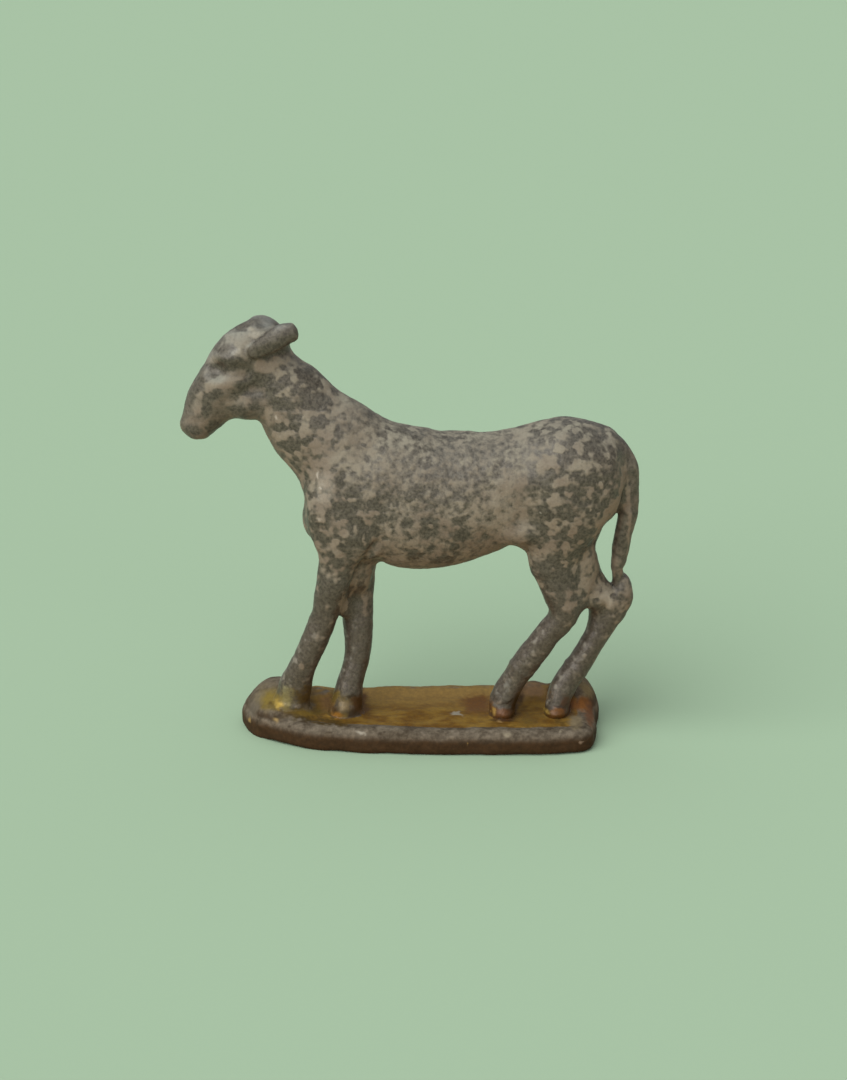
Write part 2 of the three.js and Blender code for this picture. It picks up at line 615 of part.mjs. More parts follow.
function baseOutline() {
  const headY = farY - BASE_HEAD_WIDTH;
  const taperX = headX + BASE_TAPER;
  const corner = BASE_CORNER;
  const outline = new THREE.Shape();
  outline.moveTo(taperX, -farY);
  outline.lineTo(tailX - corner, -farY);
  outline.absarc(tailX - corner, corner - farY, corner, -Math.PI / 2, 0);
  outline.absarc(tailX - corner, farY - corner, corner, 0, Math.PI / 2);
  outline.lineTo(headX + corner, farY);
  outline.absarc(headX + corner, farY - corner, corner, Math.PI / 2, Math.PI);
  outline.lineTo(headX, headY);
  outline.bezierCurveTo(headX, lerp(headY, -farY, 0.45), lerp(headX, taperX, 0.4), -farY, taperX, -farY);
  return outline;
}

// A rise of the ground: the top of a dome, rooted in the slab.
function rise(x, y, length, width, height, sink) {
  const centre = new THREE.Vector3(x, y, BASE_THICKNESS - sink);
  return ellipsoid(centre, { x: length / 2, y: width / 2, z: height + sink });
}

// The two swellings of the ground, trimmed to the slab's own outline.
function swellings() {
  const headSize = [HEAD_SWELL_LENGTH, HEAD_SWELL_WIDTH, HEAD_SWELL_HEIGHT, SWELL_SINK];
  const tailSize = [TAIL_SWELL_LENGTH, TAIL_SWELL_WIDTH, TAIL_SWELL_HEIGHT, SWELL_SINK];
  const headEnd = rise(headX + HEAD_SWELL_INSET, farY - HEAD_SWELL_WIDTH / 2, ...headSize);
  const tailEnd = rise(tailX - TAIL_SWELL_INSET, farY - TAIL_SWELL_WIDTH / 2, ...tailSize);
  const depth = BASE_THICKNESS + HEAD_SWELL_HEIGHT + TAIL_SWELL_HEIGHT;
  const trim = new THREE.ExtrudeGeometry(baseOutline(), { depth, bevelEnabled: false, curveSegments: 8 });
  const above = halfSpace(new THREE.Vector3(0, 0, BASE_EDGE_ROUND), UP);
  return headEnd.add(tailEnd).intersect(solid(trim)).intersect(above);
}

function basePlate() {
  const slab = new THREE.ExtrudeGeometry(baseOutline(), {
    depth: BASE_THICKNESS - 2 * BASE_EDGE_ROUND,
    bevelThickness: BASE_EDGE_ROUND,
    bevelSize: BASE_EDGE_ROUND,
    bevelSegments: 3,
    curveSegments: 8,
  });
  slab.translate(0, 0, BASE_EDGE_ROUND);
  let body = solid(slab).add(swellings());
  for (const { shape } of Object.values(limbs)) {
    const { x, y } = shape.section(shape.last).centre;
    const collar = [HOOF_LENGTH + 2 * COLLAR_SPREAD, HOOF_WIDTH + 2 * COLLAR_SPREAD, COLLAR_HEIGHT];
    body = body.add(rise(x, y + FIGURE_OFFSET, ...collar, 0));
  }
  for (const limb of Object.values(limbs)) {
    const seat = legBody(limb, SOLDER_GAP).add(socket(footSpigot(limb)));
    body = body.subtract(seat.translate([0, FIGURE_OFFSET, hoofLevel]));
  }
  return body;
}

// Assembly

const wornPaint = new THREE.MeshStandardMaterial({ color: 0x8f887b, roughness: 0.62, metalness: 0.1 });
const bareMetal = new THREE.MeshStandardMaterial({ color: 0x66645f, roughness: 0.45, metalness: 0.6 });
const ochrePaint = new THREE.MeshStandardMaterial({ color: 0x6e5a2c, roughness: 0.55, metalness: 0.1 });

function casting(name, body, material) {
  const mesh = new THREE.Mesh(geometryOf(body), material);
  mesh.name = name;
  return mesh;
}

const figure = new THREE.Group();
figure.position.set(0, FIGURE_OFFSET, hoofLevel);
figure.add(casting("torso", torso(), wornPaint));
figure.add(casting("head_and_neck", headAndNeck(), wornPaint));
for (const [name, shape] of Object.entries(ears)) figure.add(casting(name, skin(shape, earDomes), bareMetal));
for (const [name, limb] of Object.entries(limbs)) {
  let body = leg(limb);
  if (name === "far_hind_leg") body = body.subtract(tailBody(SOLDER_GAP));
  figure.add(casting(name, body, bareMetal));
}
figure.add(casting("tail", joined([tailBody(), spigot(tailSpigot)]), wornPaint));

const goat = new THREE.Group();
goat.name = "goat_figurine";
goat.add(casting("base_plate", basePlate(), ochrePaint), figure);

export default goat;
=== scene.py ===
import bpy
import numpy as np
import openvdb
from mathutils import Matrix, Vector


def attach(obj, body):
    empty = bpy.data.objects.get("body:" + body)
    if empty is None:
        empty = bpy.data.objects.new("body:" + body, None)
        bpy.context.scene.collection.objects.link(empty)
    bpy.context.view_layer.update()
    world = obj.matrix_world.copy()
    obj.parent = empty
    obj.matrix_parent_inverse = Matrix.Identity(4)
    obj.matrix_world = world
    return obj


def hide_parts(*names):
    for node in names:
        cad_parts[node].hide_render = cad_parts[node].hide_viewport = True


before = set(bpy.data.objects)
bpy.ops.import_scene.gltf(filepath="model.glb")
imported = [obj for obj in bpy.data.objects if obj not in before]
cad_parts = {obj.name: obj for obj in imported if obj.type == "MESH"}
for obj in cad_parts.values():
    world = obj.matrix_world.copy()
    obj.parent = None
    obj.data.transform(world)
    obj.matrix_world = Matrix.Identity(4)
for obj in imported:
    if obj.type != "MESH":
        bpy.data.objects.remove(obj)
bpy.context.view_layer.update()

# Base slab: a flat plate of lead alloy with soft cast edges, drawn in towards the goat's head on
# the near side. Two humps of ground rise at its far corners. Painted ochre by hand, and rubbed
# bare along the rim. Sizes are in millimetres, and heights are from the underside of the slab.

SLAB_THICKNESS = 2.5
SLAB_TOP_ROUND = 1.25
SLAB_FOOT_ROUND = 0.6
SLAB_LIP = 0.14
SLAB_LIP_WIDTH = 0.65
SLAB_OUTLINE = [
    (-1.0, -6.75), (6.5, -6.95), (13.5, -6.85), (17.1, -5.7), (17.95, -2.2), (17.9, 2.2),
    (17.3, 5.6), (14.4, 6.7), (7.0, 6.75), (0.0, 6.75), (-8.0, 6.75), (-14.6, 6.6),
    (-17.4, 5.0), (-18.15, 1.9), (-16.7, -1.25), (-14.1, -3.82), (-8.7, -5.85),
]
GROUND_HUMPS = [
    # middle, radii
    ((-14.5, 2.0, 1.2), (3.35, 4.3, 3.7)),
    ((15.6, 2.9, 1.1), (2.9, 3.9, 3.9)),
    ((11.9, 3.6, 2.25), (2.4, 2.4, 1.6)),
    ((6.0, 5.3, 1.0), (7.0, 1.6, 1.75)),
    ((-10.4, 2.8, 1.8), (2.4, 3.0, 1.75)),
    ((-1.0, 5.3, 1.0), (6.5, 1.6, 1.66)),
    ((-13.3, -1.3, 1.9), (2.9, 1.9, 1.5)),
]
# The mould is a block of cells. Each holds its distance from the skin of the metal, at most FAR. A new
# form changes the cells within its fillet and a MARGIN of it.
CELL = 0.16
FAR = 4.0
MARGIN = 1.2
LOW_CORNER = np.array([-25.0, -8.4, -0.9])
HIGH_CORNER = np.array([23.4, 8.4, 46.0])
CASTINGS = [
    "base_plate", "torso", "head_and_neck", "near_ear", "far_ear", "near_foreleg",
    "far_foreleg", "near_hind_leg", "far_hind_leg", "tail",
]


def smooth_path(rows, count, closed=False):
    """Rows of numbers joined by one smooth curve. Between rows b and c, with neighbours a and d,
    it is half of 2b + (c - a)t + (2a - 5b + 4c - d)t^2 + (3b - a - 3c + d)t^3."""
    rows = np.asarray(rows, float)
    if closed:
        where = np.arange(count) / count * len(rows)
        span = where.astype(int)
        a, b, c, d = (rows[(span + step) % len(rows)] for step in (-1, 0, 1, 2))
    else:
        where = np.linspace(0, len(rows) - 1, count)
        span = np.minimum(where.astype(int), len(rows) - 2)
        longer = np.vstack([2 * rows[0] - rows[1], rows, 2 * rows[-1] - rows[-2]])
        a, b, c, d = (longer[span + step] for step in (0, 1, 2, 3))
    t = (where - span)[:, None]
    cubic = (3 * b - a - 3 * c + d) * t**3
    return 0.5 * (2 * b + (c - a) * t + (2 * a - 5 * b + 4 * c - d) * t**2 + cubic)


def closed_skin(rings):
    """A grid of rings sewn into one closed skin: each ring meets its own start, and the first and
    last rings are drawn to their middles."""
    count, sides, _ = rings.shape
    here = np.arange(count * sides).reshape(count, sides)
    beside = np.roll(here, -1, axis=1)
    quads = np.stack([here[:-1], beside[:-1], beside[1:], here[1:]], -1).reshape(-1, 4)
    start = np.stack([np.full(sides, here.size), beside[0], here[0]], -1)
    end = np.stack([np.full(sides, here.size + 1), here[-1], beside[-1]], -1)
    points = np.vstack([rings.reshape(-1, 3), rings[0].mean(0), rings[-1].mean(0)])
    return points, quads, np.vstack([start, end])


slab_edge = smooth_path(SLAB_OUTLINE, 240, closed=True)


def slab():
    """The outline carried up an edge profile: ring = outline moved inwards by the profile's
    inset, at the profile's height, with a quarter round at the foot, a larger one at the top and
    a low lip that falls to the painted top."""
    run = np.roll(slab_edge, -1, axis=0) - np.roll(slab_edge, 1, axis=0)
    outward = np.stack([run[:, 1], -run[:, 0]], -1) / np.linalg.norm(run, axis=1)[:, None]
    turn = np.radians(np.linspace(0, 90, 7))
    foot = np.stack([SLAB_FOOT_ROUND * (1 - np.sin(turn)), SLAB_FOOT_ROUND * (1 - np.cos(turn))], -1)
    top_inset = SLAB_TOP_ROUND * (1 - np.cos(turn))
    top = np.stack([top_inset, SLAB_THICKNESS - SLAB_TOP_ROUND * (1 - np.sin(turn))], -1)
    lip_start = (SLAB_TOP_ROUND + 0.25, SLAB_THICKNESS - 0.03)
    lip_end = (SLAB_TOP_ROUND + SLAB_LIP_WIDTH, SLAB_THICKNESS - SLAB_LIP)
    profile = np.vstack([foot, top, lip_start, lip_end])
    rings = np.zeros((len(profile), len(slab_edge), 3))
    rings[:, :, :2] = slab_edge - profile[:, :1, None] * outward
    rings[:, :, 2] = profile[:, 1:]
    return closed_skin(rings)


def egg(middle, radii, pitch=0.0):
    """A ball stretched to three radii, tipped about the across axis by a pitch in degrees:
    ring at latitude v, point at longitude u = (cos v cos u, cos v sin u, sin v) times the radii."""
    v = np.radians(np.linspace(-84, 84, 21))[:, None]
    u = np.linspace(0, 2 * np.pi, 40, endpoint=False)[None]
    ball = np.stack([np.cos(v) * np.cos(u), np.cos(v) * np.sin(u), np.sin(v) + 0 * u], -1) * radii
    c, s = np.cos(np.radians(pitch)), np.sin(np.radians(pitch))
    return closed_skin(ball @ np.array([[c, 0, s], [0, 1, 0], [-s, 0, c]]) + middle)


size = tuple(np.ceil((HIGH_CORNER - LOW_CORNER) / CELL).astype(int) + 1)
metal = np.full(size, FAR, np.float32)
nearest = np.full(size, FAR, np.float32)
owner = np.zeros(size, np.uint8)


def distance_to(skin, reach):
    """How far each cell of the mould is from a skin, less than nothing inside it, in the box of
    cells within reach of it."""
    points, quads, triangles = skin
    grid = openvdb.FloatGrid.createLevelSetFromPolygons(
        ((points - LOW_CORNER) / CELL).astype(np.float32), triangles=triangles.astype(np.uint32),
        quads=quads.astype(np.uint32), halfWidth=reach / CELL)
    first = np.floor((points.min(0) - reach - LOW_CORNER) / CELL).astype(int)
    last = np.ceil((points.max(0) + reach - LOW_CORNER) / CELL).astype(int)
    first, last = np.maximum(first, 0), np.minimum(last, size)
    cells = np.empty(last - first, np.float32)
    grid.copyToArray(cells, ijk=tuple(int(n) for n in first))
    return cells * CELL, tuple(slice(a, b) for a, b in zip(first, last))


def melt(part, skin, fillet):
    """Joins a form to the metal with a fillet: where the two distances a and b are close,
    the smaller is lowered by fillet * h * (1 - h), with h = half + (a - b) / (2 fillet)."""
    new, box = distance_to(skin, fillet + MARGIN)
    old = metal[box]
    h = np.clip(0.5 + 0.5 * (old - new) / fillet, 0, 1)
    metal[box] = old * (1 - h) + new * h - fillet * h * (1 - h)
    closer = new < nearest[box]
    nearest[box] = np.where(closer, new, nearest[box])
    owner[box] = np.where(closer, CASTINGS.index(part), owner[box])


melt("base_plate", slab(), fillet=0.2)
for middle, radii in GROUND_HUMPS:
    melt("base_plate", egg(middle, radii), fillet=0.9)

OCHRE_DEEP = 0x5E4008
OCHRE_PALE = 0x846828
OCHRE_DUSTY = 0x8C7240
RIM_DULL = 0x443A2C
RIM_RUBBED = 0x7E7566
FACE_DARK = 0x36240E
FACE_PALE = 0x463420
# Painted shade and soil in the creases round the soles and where they meet the ground.
SOLE_SHADE_AND_SOIL = 0x3A2A14
BARE_RIM = 1.95
BRUSH_MARK = 0.9
# The grain of cast lead is finer than this. It is drawn as coarse as it needs to show.
SLAB_GRIT = 0.45
PAINT_RELIEF = 0.05
# Among these stains are painted shade, which is the dark contact shadows round and between the feet, and
# painted glints, which are the small pale yellow and grey spots by the hooves.
GROUND_STAINS_SHADE_AND_GLINTS = [
    # along, height as seen from the near side, half length, half height, slant, colour, strength
    (-11.64, 2.2, 1.29, 1.36, 0, 0x584626, 0.9), (-15.14, 1.4, 1.4, 1.1, 0, 0x76662F, 0.95),
    (-13.3, 1.8, 0.6, 1.4, 0, 0x867C54, 0.6), (-13.54, 2.6, 0.46, 0.72, 0, 0x7C7A60, 0.6),
    (-15.14, 0.68, 0.38, 0.19, 0, 0x4A3A1C, 0.6),
    (-13.32, 0.44, 0.38, 0.32, 0, 0x6A5A28, 0.5), (-14.2, 0.89, 0.4, 0.34, 0, 0xBFA24A, 0.9),
    (-11.19, -0.12, 2.13, 0.4, 0, 0x6A561F, 0.8), (-11.19, 0.44, 0.61, 0.32, 30, 0x7A6E58, 0.5),
    (-9.51, 0.92, 0.84, 0.96, 0, 0x7C5E38, 0.7), (-8.52, 1.88, 0.53, 0.96, -20, 0x6E5C2A, 0.8),
    (-6.17, 1.08, 0.91, 0.96, 0, 0x4A2F10, 0.85), (-5.56, 0.04, 0.68, 0.35, 0, 0x5A3E1E, 0.7),
    (-6.93, 1.8, 0.91, 0.19, 15, 0x2E2210, 0.8), (-7.61, 0.76, 0.61, 0.88, 0, 0x6C5C3C, 0.75),
    (-7.69, -0.36, 0.46, 0.29, 0, 0x7A6428, 0.5), (-8.3, -0.25, 0.5, 0.34, 0, 0x9A6A22, 0.9),
    (-7.84, -0.95, 1.67, 0.19, 0, 0x5A4310, 0.7), (-10.27, -0.87, 3.8, 0.26, -7, 0x463610, 0.7),
    (-15.29, 2.84, 0.91, 0.8, -30, 0x6E6450, 0.7), (-16.82, 0.76, 0.61, 1.76, -25, 0x706A5C, 0.6),
    (-17.35, -0.84, 0.21, 0.29, 0, 0x9A8450, 0.8), (-14.53, -0.76, 0.33, 0.35, 0, 0xA08A5C, 0.8),
    (-14.84, -0.36, 0.15, 0.22, 0, 0x3E3322, 0.6), (-5.94, -1.96, 0.53, 0.21, -10, 0xA09A8C, 0.6),
    (-9.21, -2.28, 0.46, 0.35, 0, 0x8A7C66, 0.4), (5.2, 0.8, 1.5, 0.7, 0, 0x6A4A1E, 0.5),
    (6.1, 0.6, 1.5, 0.95, 0, 0x63421F, 0.75),
    (10.02, 1.08, 0.61, 1.76, -25, 0x3E2C16, 0.85), (9.41, -0.2, 0.46, 0.64, 0, 0x4A3218, 0.7),
    (8.8, 1.05, 0.84, 0.16, 40, 0x2E2010, 0.8), (8.35, -0.28, 0.79, 0.51, 0, 0x5E3810, 0.9),
    (7.51, 0.04, 0.2, 0.34, 0, 0xAE8C48, 0.9), (8.6, -0.86, 1.1, 0.24, 0, 0x3E2810, 0.8),
    (8.04, -1.13, 0.35, 0.09, 0, 0xA08252, 0.6), (3.78, -0.31, 0.64, 0.21, 0, 0x8F897A, 0.8),
    (11.24, -0.84, 1.52, 0.64, 0, 0x5E4A18, 0.6), (11.85, 2.04, 1.37, 0.96, 0, 0x84694A, 0.85),
    (13.37, 2.52, 0.21, 0.96, -15, 0x4E3818, 0.7), (15.04, 0.76, 0.76, 0.96, 20, 0x4A3220, 0.85),
    (14.28, 0.44, 0.91, 0.14, 0, 0x2E2010, 0.8), (13.9, -0.2, 0.88, 0.45, 0, 0x643E10, 0.92),
    (12.84, 0.12, 0.22, 0.22, 0, 0x9E823C, 0.85), (14.13, -1, 0.91, 0.22, 0, 0x4E3A12, 0.6),
    (17.32, -0.2, 0.53, 1.44, 0, 0x6C4A30, 0.8), (16.33, 0.76, 0.79, 0.72, 0, 0x84562A, 0.85),
    (15.88, -1, 0.79, 0.77, 0, 0x746850, 0.8), (17.1, 2.36, 0.84, 1.04, 30, 0x7E7050, 0.8),
    (8.8, -2.12, 0.68, 0.32, 0, 0xA09680, 0.6), (14.13, -1.88, 0.26, 0.21, 0, 0xA09680, 0.6),
    (16.18, -3.08, 0.3, 0.19, 40, 0xA08E78, 0.6), (4.77, -3.27, 0.17, 0.13, 0, 0xB09050, 0.7),
]


def linear(colour):
    """An sRGB hex value as linear light: c / 12.92 up to 0.04045, else ((c + 0.055) / 1.055) ^ 2.4."""
    c = np.array([colour >> 16 & 255, colour >> 8 & 255, colour & 255]) / 255
    return (*np.where(c <= 0.04045, c / 12.92, ((c + 0.055) / 1.055) ** 2.4), 1.0)


def add(tree, kind, inputs, output=0, **settings):
    """Adds a node with its settings, sets or links its inputs, and gives back one of its outputs."""
    made = tree.nodes.new("ShaderNode" + kind)
    for name, value in settings.items():
        setattr(made, name, value)
    for name, value in inputs.items():
        if isinstance(value, bpy.types.NodeSocket):
            tree.links.new(value, made.inputs[name])
        else:
            made.inputs[name].default_value = value
    return made.outputs[output]


def ochre_paint_on_cast_lead():
    """Oil paint brushed on a lead casting. It gives the eye a matt, mottled ochre that pools and thins,
    a rim rubbed to dull grey metal, a dirty brown foot, and the colours that ran off the hooves, with
    painted contact shadows round the soles and painted glints by the hooves among them."""
    finish = bpy.data.materials.new("ochre_oil_paint_on_cast_lead")
    finish.use_nodes = True
    tree = finish.node_tree
    coat = tree.nodes["Principled BSDF"]
    place = add(tree, "TexCoord", {}, 3)
    wear = "bare", "foot", "dust"
    bare, foot, dust = (add(tree, "Attribute", {}, 2, attribute_name=name) for name in wear)
    # Stains, with painted contact shadows and painted glints among them.
    stain_shade_and_glint = add(tree, "Attribute", {}, 0, attribute_name="stain_shade_and_glint")
    stain_shade_and_glint_cover = add(tree, "Attribute", {}, 3, attribute_name="stain_shade_and_glint")
    drawn = add(tree, "VectorMath", {0: place, 1: (0.45, 0.8, 1)}, operation="MULTIPLY")
    marks = {"Vector": drawn, "Scale": 1000 / BRUSH_MARK, "Detail": 4, "Roughness": 0.55}
    brushing = add(tree, "TexNoise", marks)
    grain = {"Vector": place, "Scale": 1000 / SLAB_GRIT, "Detail": 3, "Roughness": 0.6}
    grit = add(tree, "TexNoise", grain)
    pooled = add(tree, "MapRange", {0: brushing, 1: 0.3, 2: 0.74}, interpolation_type="SMOOTHSTEP")
    ochre = add(tree, "Mix", {0: pooled, 6: linear(OCHRE_DEEP), 7: linear(OCHRE_PALE)}, 2, data_type="RGBA")
    ochre = add(tree, "Mix", {0: dust, 6: ochre, 7: linear(OCHRE_DUSTY)}, 2, data_type="RGBA")
    gritty = add(tree, "MapRange", {0: grit, 1: 0.35, 2: 0.68}, interpolation_type="SMOOTHSTEP")
    streaky = add(tree, "Mix", {0: 0.3, 2: pooled, 3: gritty}, 0, data_type="FLOAT")
    rim = add(tree, "Mix", {0: streaky, 6: linear(RIM_DULL), 7: linear(RIM_RUBBED)}, 2, data_type="RGBA")
    face = add(tree, "Mix", {0: streaky, 6: linear(FACE_DARK), 7: linear(FACE_PALE)}, 2, data_type="RGBA")
    ragged = add(tree, "MapRange", {0: brushing, 1: 0.25, 2: 0.75, 3: -0.25, 4: 0.25})
    rubbed = add(tree, "Math", {0: bare, 1: ragged}, operation="ADD")
    rubbed = add(tree, "MapRange", {0: rubbed, 1: 0.3, 2: 0.7}, interpolation_type="SMOOTHSTEP")
    dirty = add(tree, "Math", {0: foot, 1: ragged}, operation="ADD")
    dirty = add(tree, "MapRange", {0: dirty, 1: 0.0, 2: 1.0}, interpolation_type="SMOOTHSTEP")
    spread = add(tree, "Math", {0: ragged, 1: 0.6, 2: stain_shade_and_glint_cover}, operation="MULTIPLY_ADD")
    spread = add(tree, "MapRange", {0: spread, 1: 0.08, 2: 0.85}, interpolation_type="SMOOTHSTEP")
    colour = ochre
    for share, layer in ((rubbed, rim), (dirty, face), (spread, stain_shade_and_glint)):
        colour = add(tree, "Mix", {0: share, 6: colour, 7: layer}, 2, data_type="RGBA")
    mottle = add(tree, "MapRange", {0: grit, 1: 0.25, 2: 0.75, 3: 0.79, 4: 1.2})
    colour = add(tree, "VectorMath", {0: colour, 3: mottle}, operation="SCALE")
    tree.links.new(colour, coat.inputs["Base Color"])
    tree.links.new(add(tree, "Math", {0: rubbed, 1: 0.2}, operation="MULTIPLY"), coat.inputs["Metallic"])
    tree.links.new(add(tree, "MapRange", {0: grit, 1: 0.3, 2: 0.7, 3: 0.7, 4: 0.9}), coat.inputs["Roughness"])
    coat.inputs["Specular IOR Level"].default_value = 0.25
    relief = add(tree, "Math", {0: grit, 1: brushing}, operation="ADD")
    bumps = add(tree, "Bump", {"Strength": 0.8, "Distance": PAINT_RELIEF / 1000, "Height": relief})
    tree.links.new(bumps, coat.inputs["Normal"])
    return finish


base_finish = ochre_paint_on_cast_lead()

# Trunk: barrel, shoulders and haunches in one pour, with a web of metal left between the hind
# legs where the mould closed. Its pale paint is worn through to the grey metal in patches.
# Heights of the figure are from the soles, which stand on the slab a little towards the near side.

SOLES = np.array([0.0, -1.4, 2.7])
BARREL = [
    # along, top, underside, width
    (-9.2, 25.6, 18.2, 6.2), (-7.0, 28.7, 16.7, 7.4), (-3.24, 30.2, 16.05, 9.3), (1.23, 29.65, 15.45, 9.8),
    (6.02, 29.6, 17.1, 9.4), (9.86, 29.8, 18.85, 8.8), (14.65, 30.95, 19.6, 8.8), (18.48, 30.1, 20.6, 7.04),
]
# Middles and radii. Shoulder, elbow, haunch and flank swell on both sides, and each web stands once.
SHOULDER = (-7.5, 2.66, 21.7), (3.4, 1.45, 5.4)
BREAST = (-8.35, 0, 20.7), (3.3, 2.6, 3.0)
ELBOW = (-5.8, 2.8, 19.4), (1.7, 1.1, 2.1)
HAUNCH = (14.6, 2.46, 23.7), (3.9, 2.1, 5.9)
FLANK = (10.3, 2.5, 20.1), (2.4, 1.6, 1.5)
WEBS = [
    ((15.6, -0.5, 16.8), (1.95, 1.6, 5.2)), ((15.9, -0.5, 13.0), (1.25, 1.3, 1.8)),
    ((16.4, 0.0, 19.9), (1.9, 1.7, 1.7)), ((16.5, 0.2, 15.2), (1.25, 1.4, 2.2)),
    ((17.6, 0.2, 12.1), (1.0, 1.2, 1.2)), ((17.8, 0.0, 22.9), (1.9, 1.9, 2.8)),
    ((11.1, -1.2, 18.9), (1.5, 1.6, 1.25)), ((-7.6, 0.0, 12.1), (0.8, 0.9, 1.9)),
    ((-6.3, -0.2, 15.9), (1.7, 1.4, 3.0)), ((-5.9, 0.4, 17.2), (1.9, 2.0, 1.8)),
]
# Folds are scooped out of the finished sides: along, height, depth.
ELBOW_FOLD = [
    (-4.3, 19.2, 0.1), (-5.2, 17.6, 0.15), (-5.9, 16.2, 0.17), (-6.6, 14.6, 0.16), (-7.1, 13.4, 0.1),
]
FLANK_FOLD = [(10.5, 19.1, 0.08), (10.75, 18.2, 0.13), (10.9, 17.4, 0.08)]


def swept(rows, start_round=0.0, end_round=0.0, sides=36):
    """An oval carried along a smooth path: ring = middle + deep * depth * cos a + across * width *
    sin a, where the rows give the path's point, half the depth and half the width. A rounded end
    goes on past the path by its length times sin b, shrinking by cos b."""
    path = smooth_path(rows, 9 * len(rows))
    middle, half = path[:, :3] + SOLES, path[:, 3:5]
    along = np.gradient(middle, axis=0)
    along /= np.linalg.norm(along, axis=1)[:, None]
    turn = np.radians(np.linspace(84, 14, 6))[:, None]
    start = middle[0] - along[0] * start_round * np.sin(turn)
    end = middle[-1] + along[-1] * end_round * np.sin(turn[::-1])
    middle = np.vstack([start, middle, end])
    half = np.vstack([half[0] * np.cos(turn), half, half[-1] * np.cos(turn[::-1])])
    along = np.vstack([np.repeat(along[:1], 6, 0), along, np.repeat(along[-1:], 6, 0)])
    across = np.array([0.0, 1.0, 0.0]) - along * along[:, 1:2]
    across /= np.linalg.norm(across, axis=1)[:, None]
    deep = np.cross(along, across)
    a = np.linspace(0, 2 * np.pi, sides, endpoint=False)[None, :, None]
    ring = deep[:, None] * half[:, None, :1] * np.cos(a) + across[:, None] * half[:, None, 1:] * np.sin(a)
    return closed_skin(middle[:, None] + ring)


def laid(rows, side):
    """A path given along and in height is laid on the metal's near (-1) or far (1) side: the first
    cell across that is inside the metal gives its third number."""
    along, height, thick = np.array(rows).T
    first = np.round((along + SOLES[0] - LOW_CORNER[0]) / CELL).astype(int)
    third = np.round((height + SOLES[2] - LOW_CORNER[2]) / CELL).astype(int)
    inside = metal[first, :, third][:, ::-side] < 0
    cell = inside.argmax(1)
    cell = cell if side < 0 else size[1] - 1 - cell
    return np.stack([along, cell * CELL + LOW_CORNER[1] - SOLES[1], height, thick, thick], -1)


def scoop(skin, edge):
    """Takes a form out of the metal, with the lip of the hollow rounded by the rule of melt."""
    new, box = distance_to(skin, edge + MARGIN)
    old = metal[box]
    h = np.clip(0.5 - 0.5 * (old + new) / edge, 0, 1)
    metal[box] = old * (1 - h) - new * h + edge * h * (1 - h)


CREAM = 0x888373
CREAM_WARM = 0x7B7364
LEAD_DARK = 0x46423A
LEAD_RUBBED = 0x605C51
# Bare metal browned by painted shade and soil.
LEAD_SHADE_AND_SOIL = 0x584B3F
# The colour of the painted highlights and glints.
GLINT_COLOUR = 0xCFCDBF
# Paler flecks of rubbed metal, laid thicker as a painted highlight where the legs face the key lamp.
FLECK_AND_LIGHT = 0x88867C
# Painted reflection of the sky on what faces up, on the paint and on the bare metal.
CREAM_SKY_REFLECTION = 0x8A8C82
LEAD_SKY_REFLECTION = 0x7C7F7A
# A brown glaze over the paint, for painted shade and soil.
SHADE_AND_GRIME_TINT = 0xE7D8C8
SPECK = 0.62
CHIP = 0.8
RUBBED_FLECK = 0.8
CLOUD = 2.6
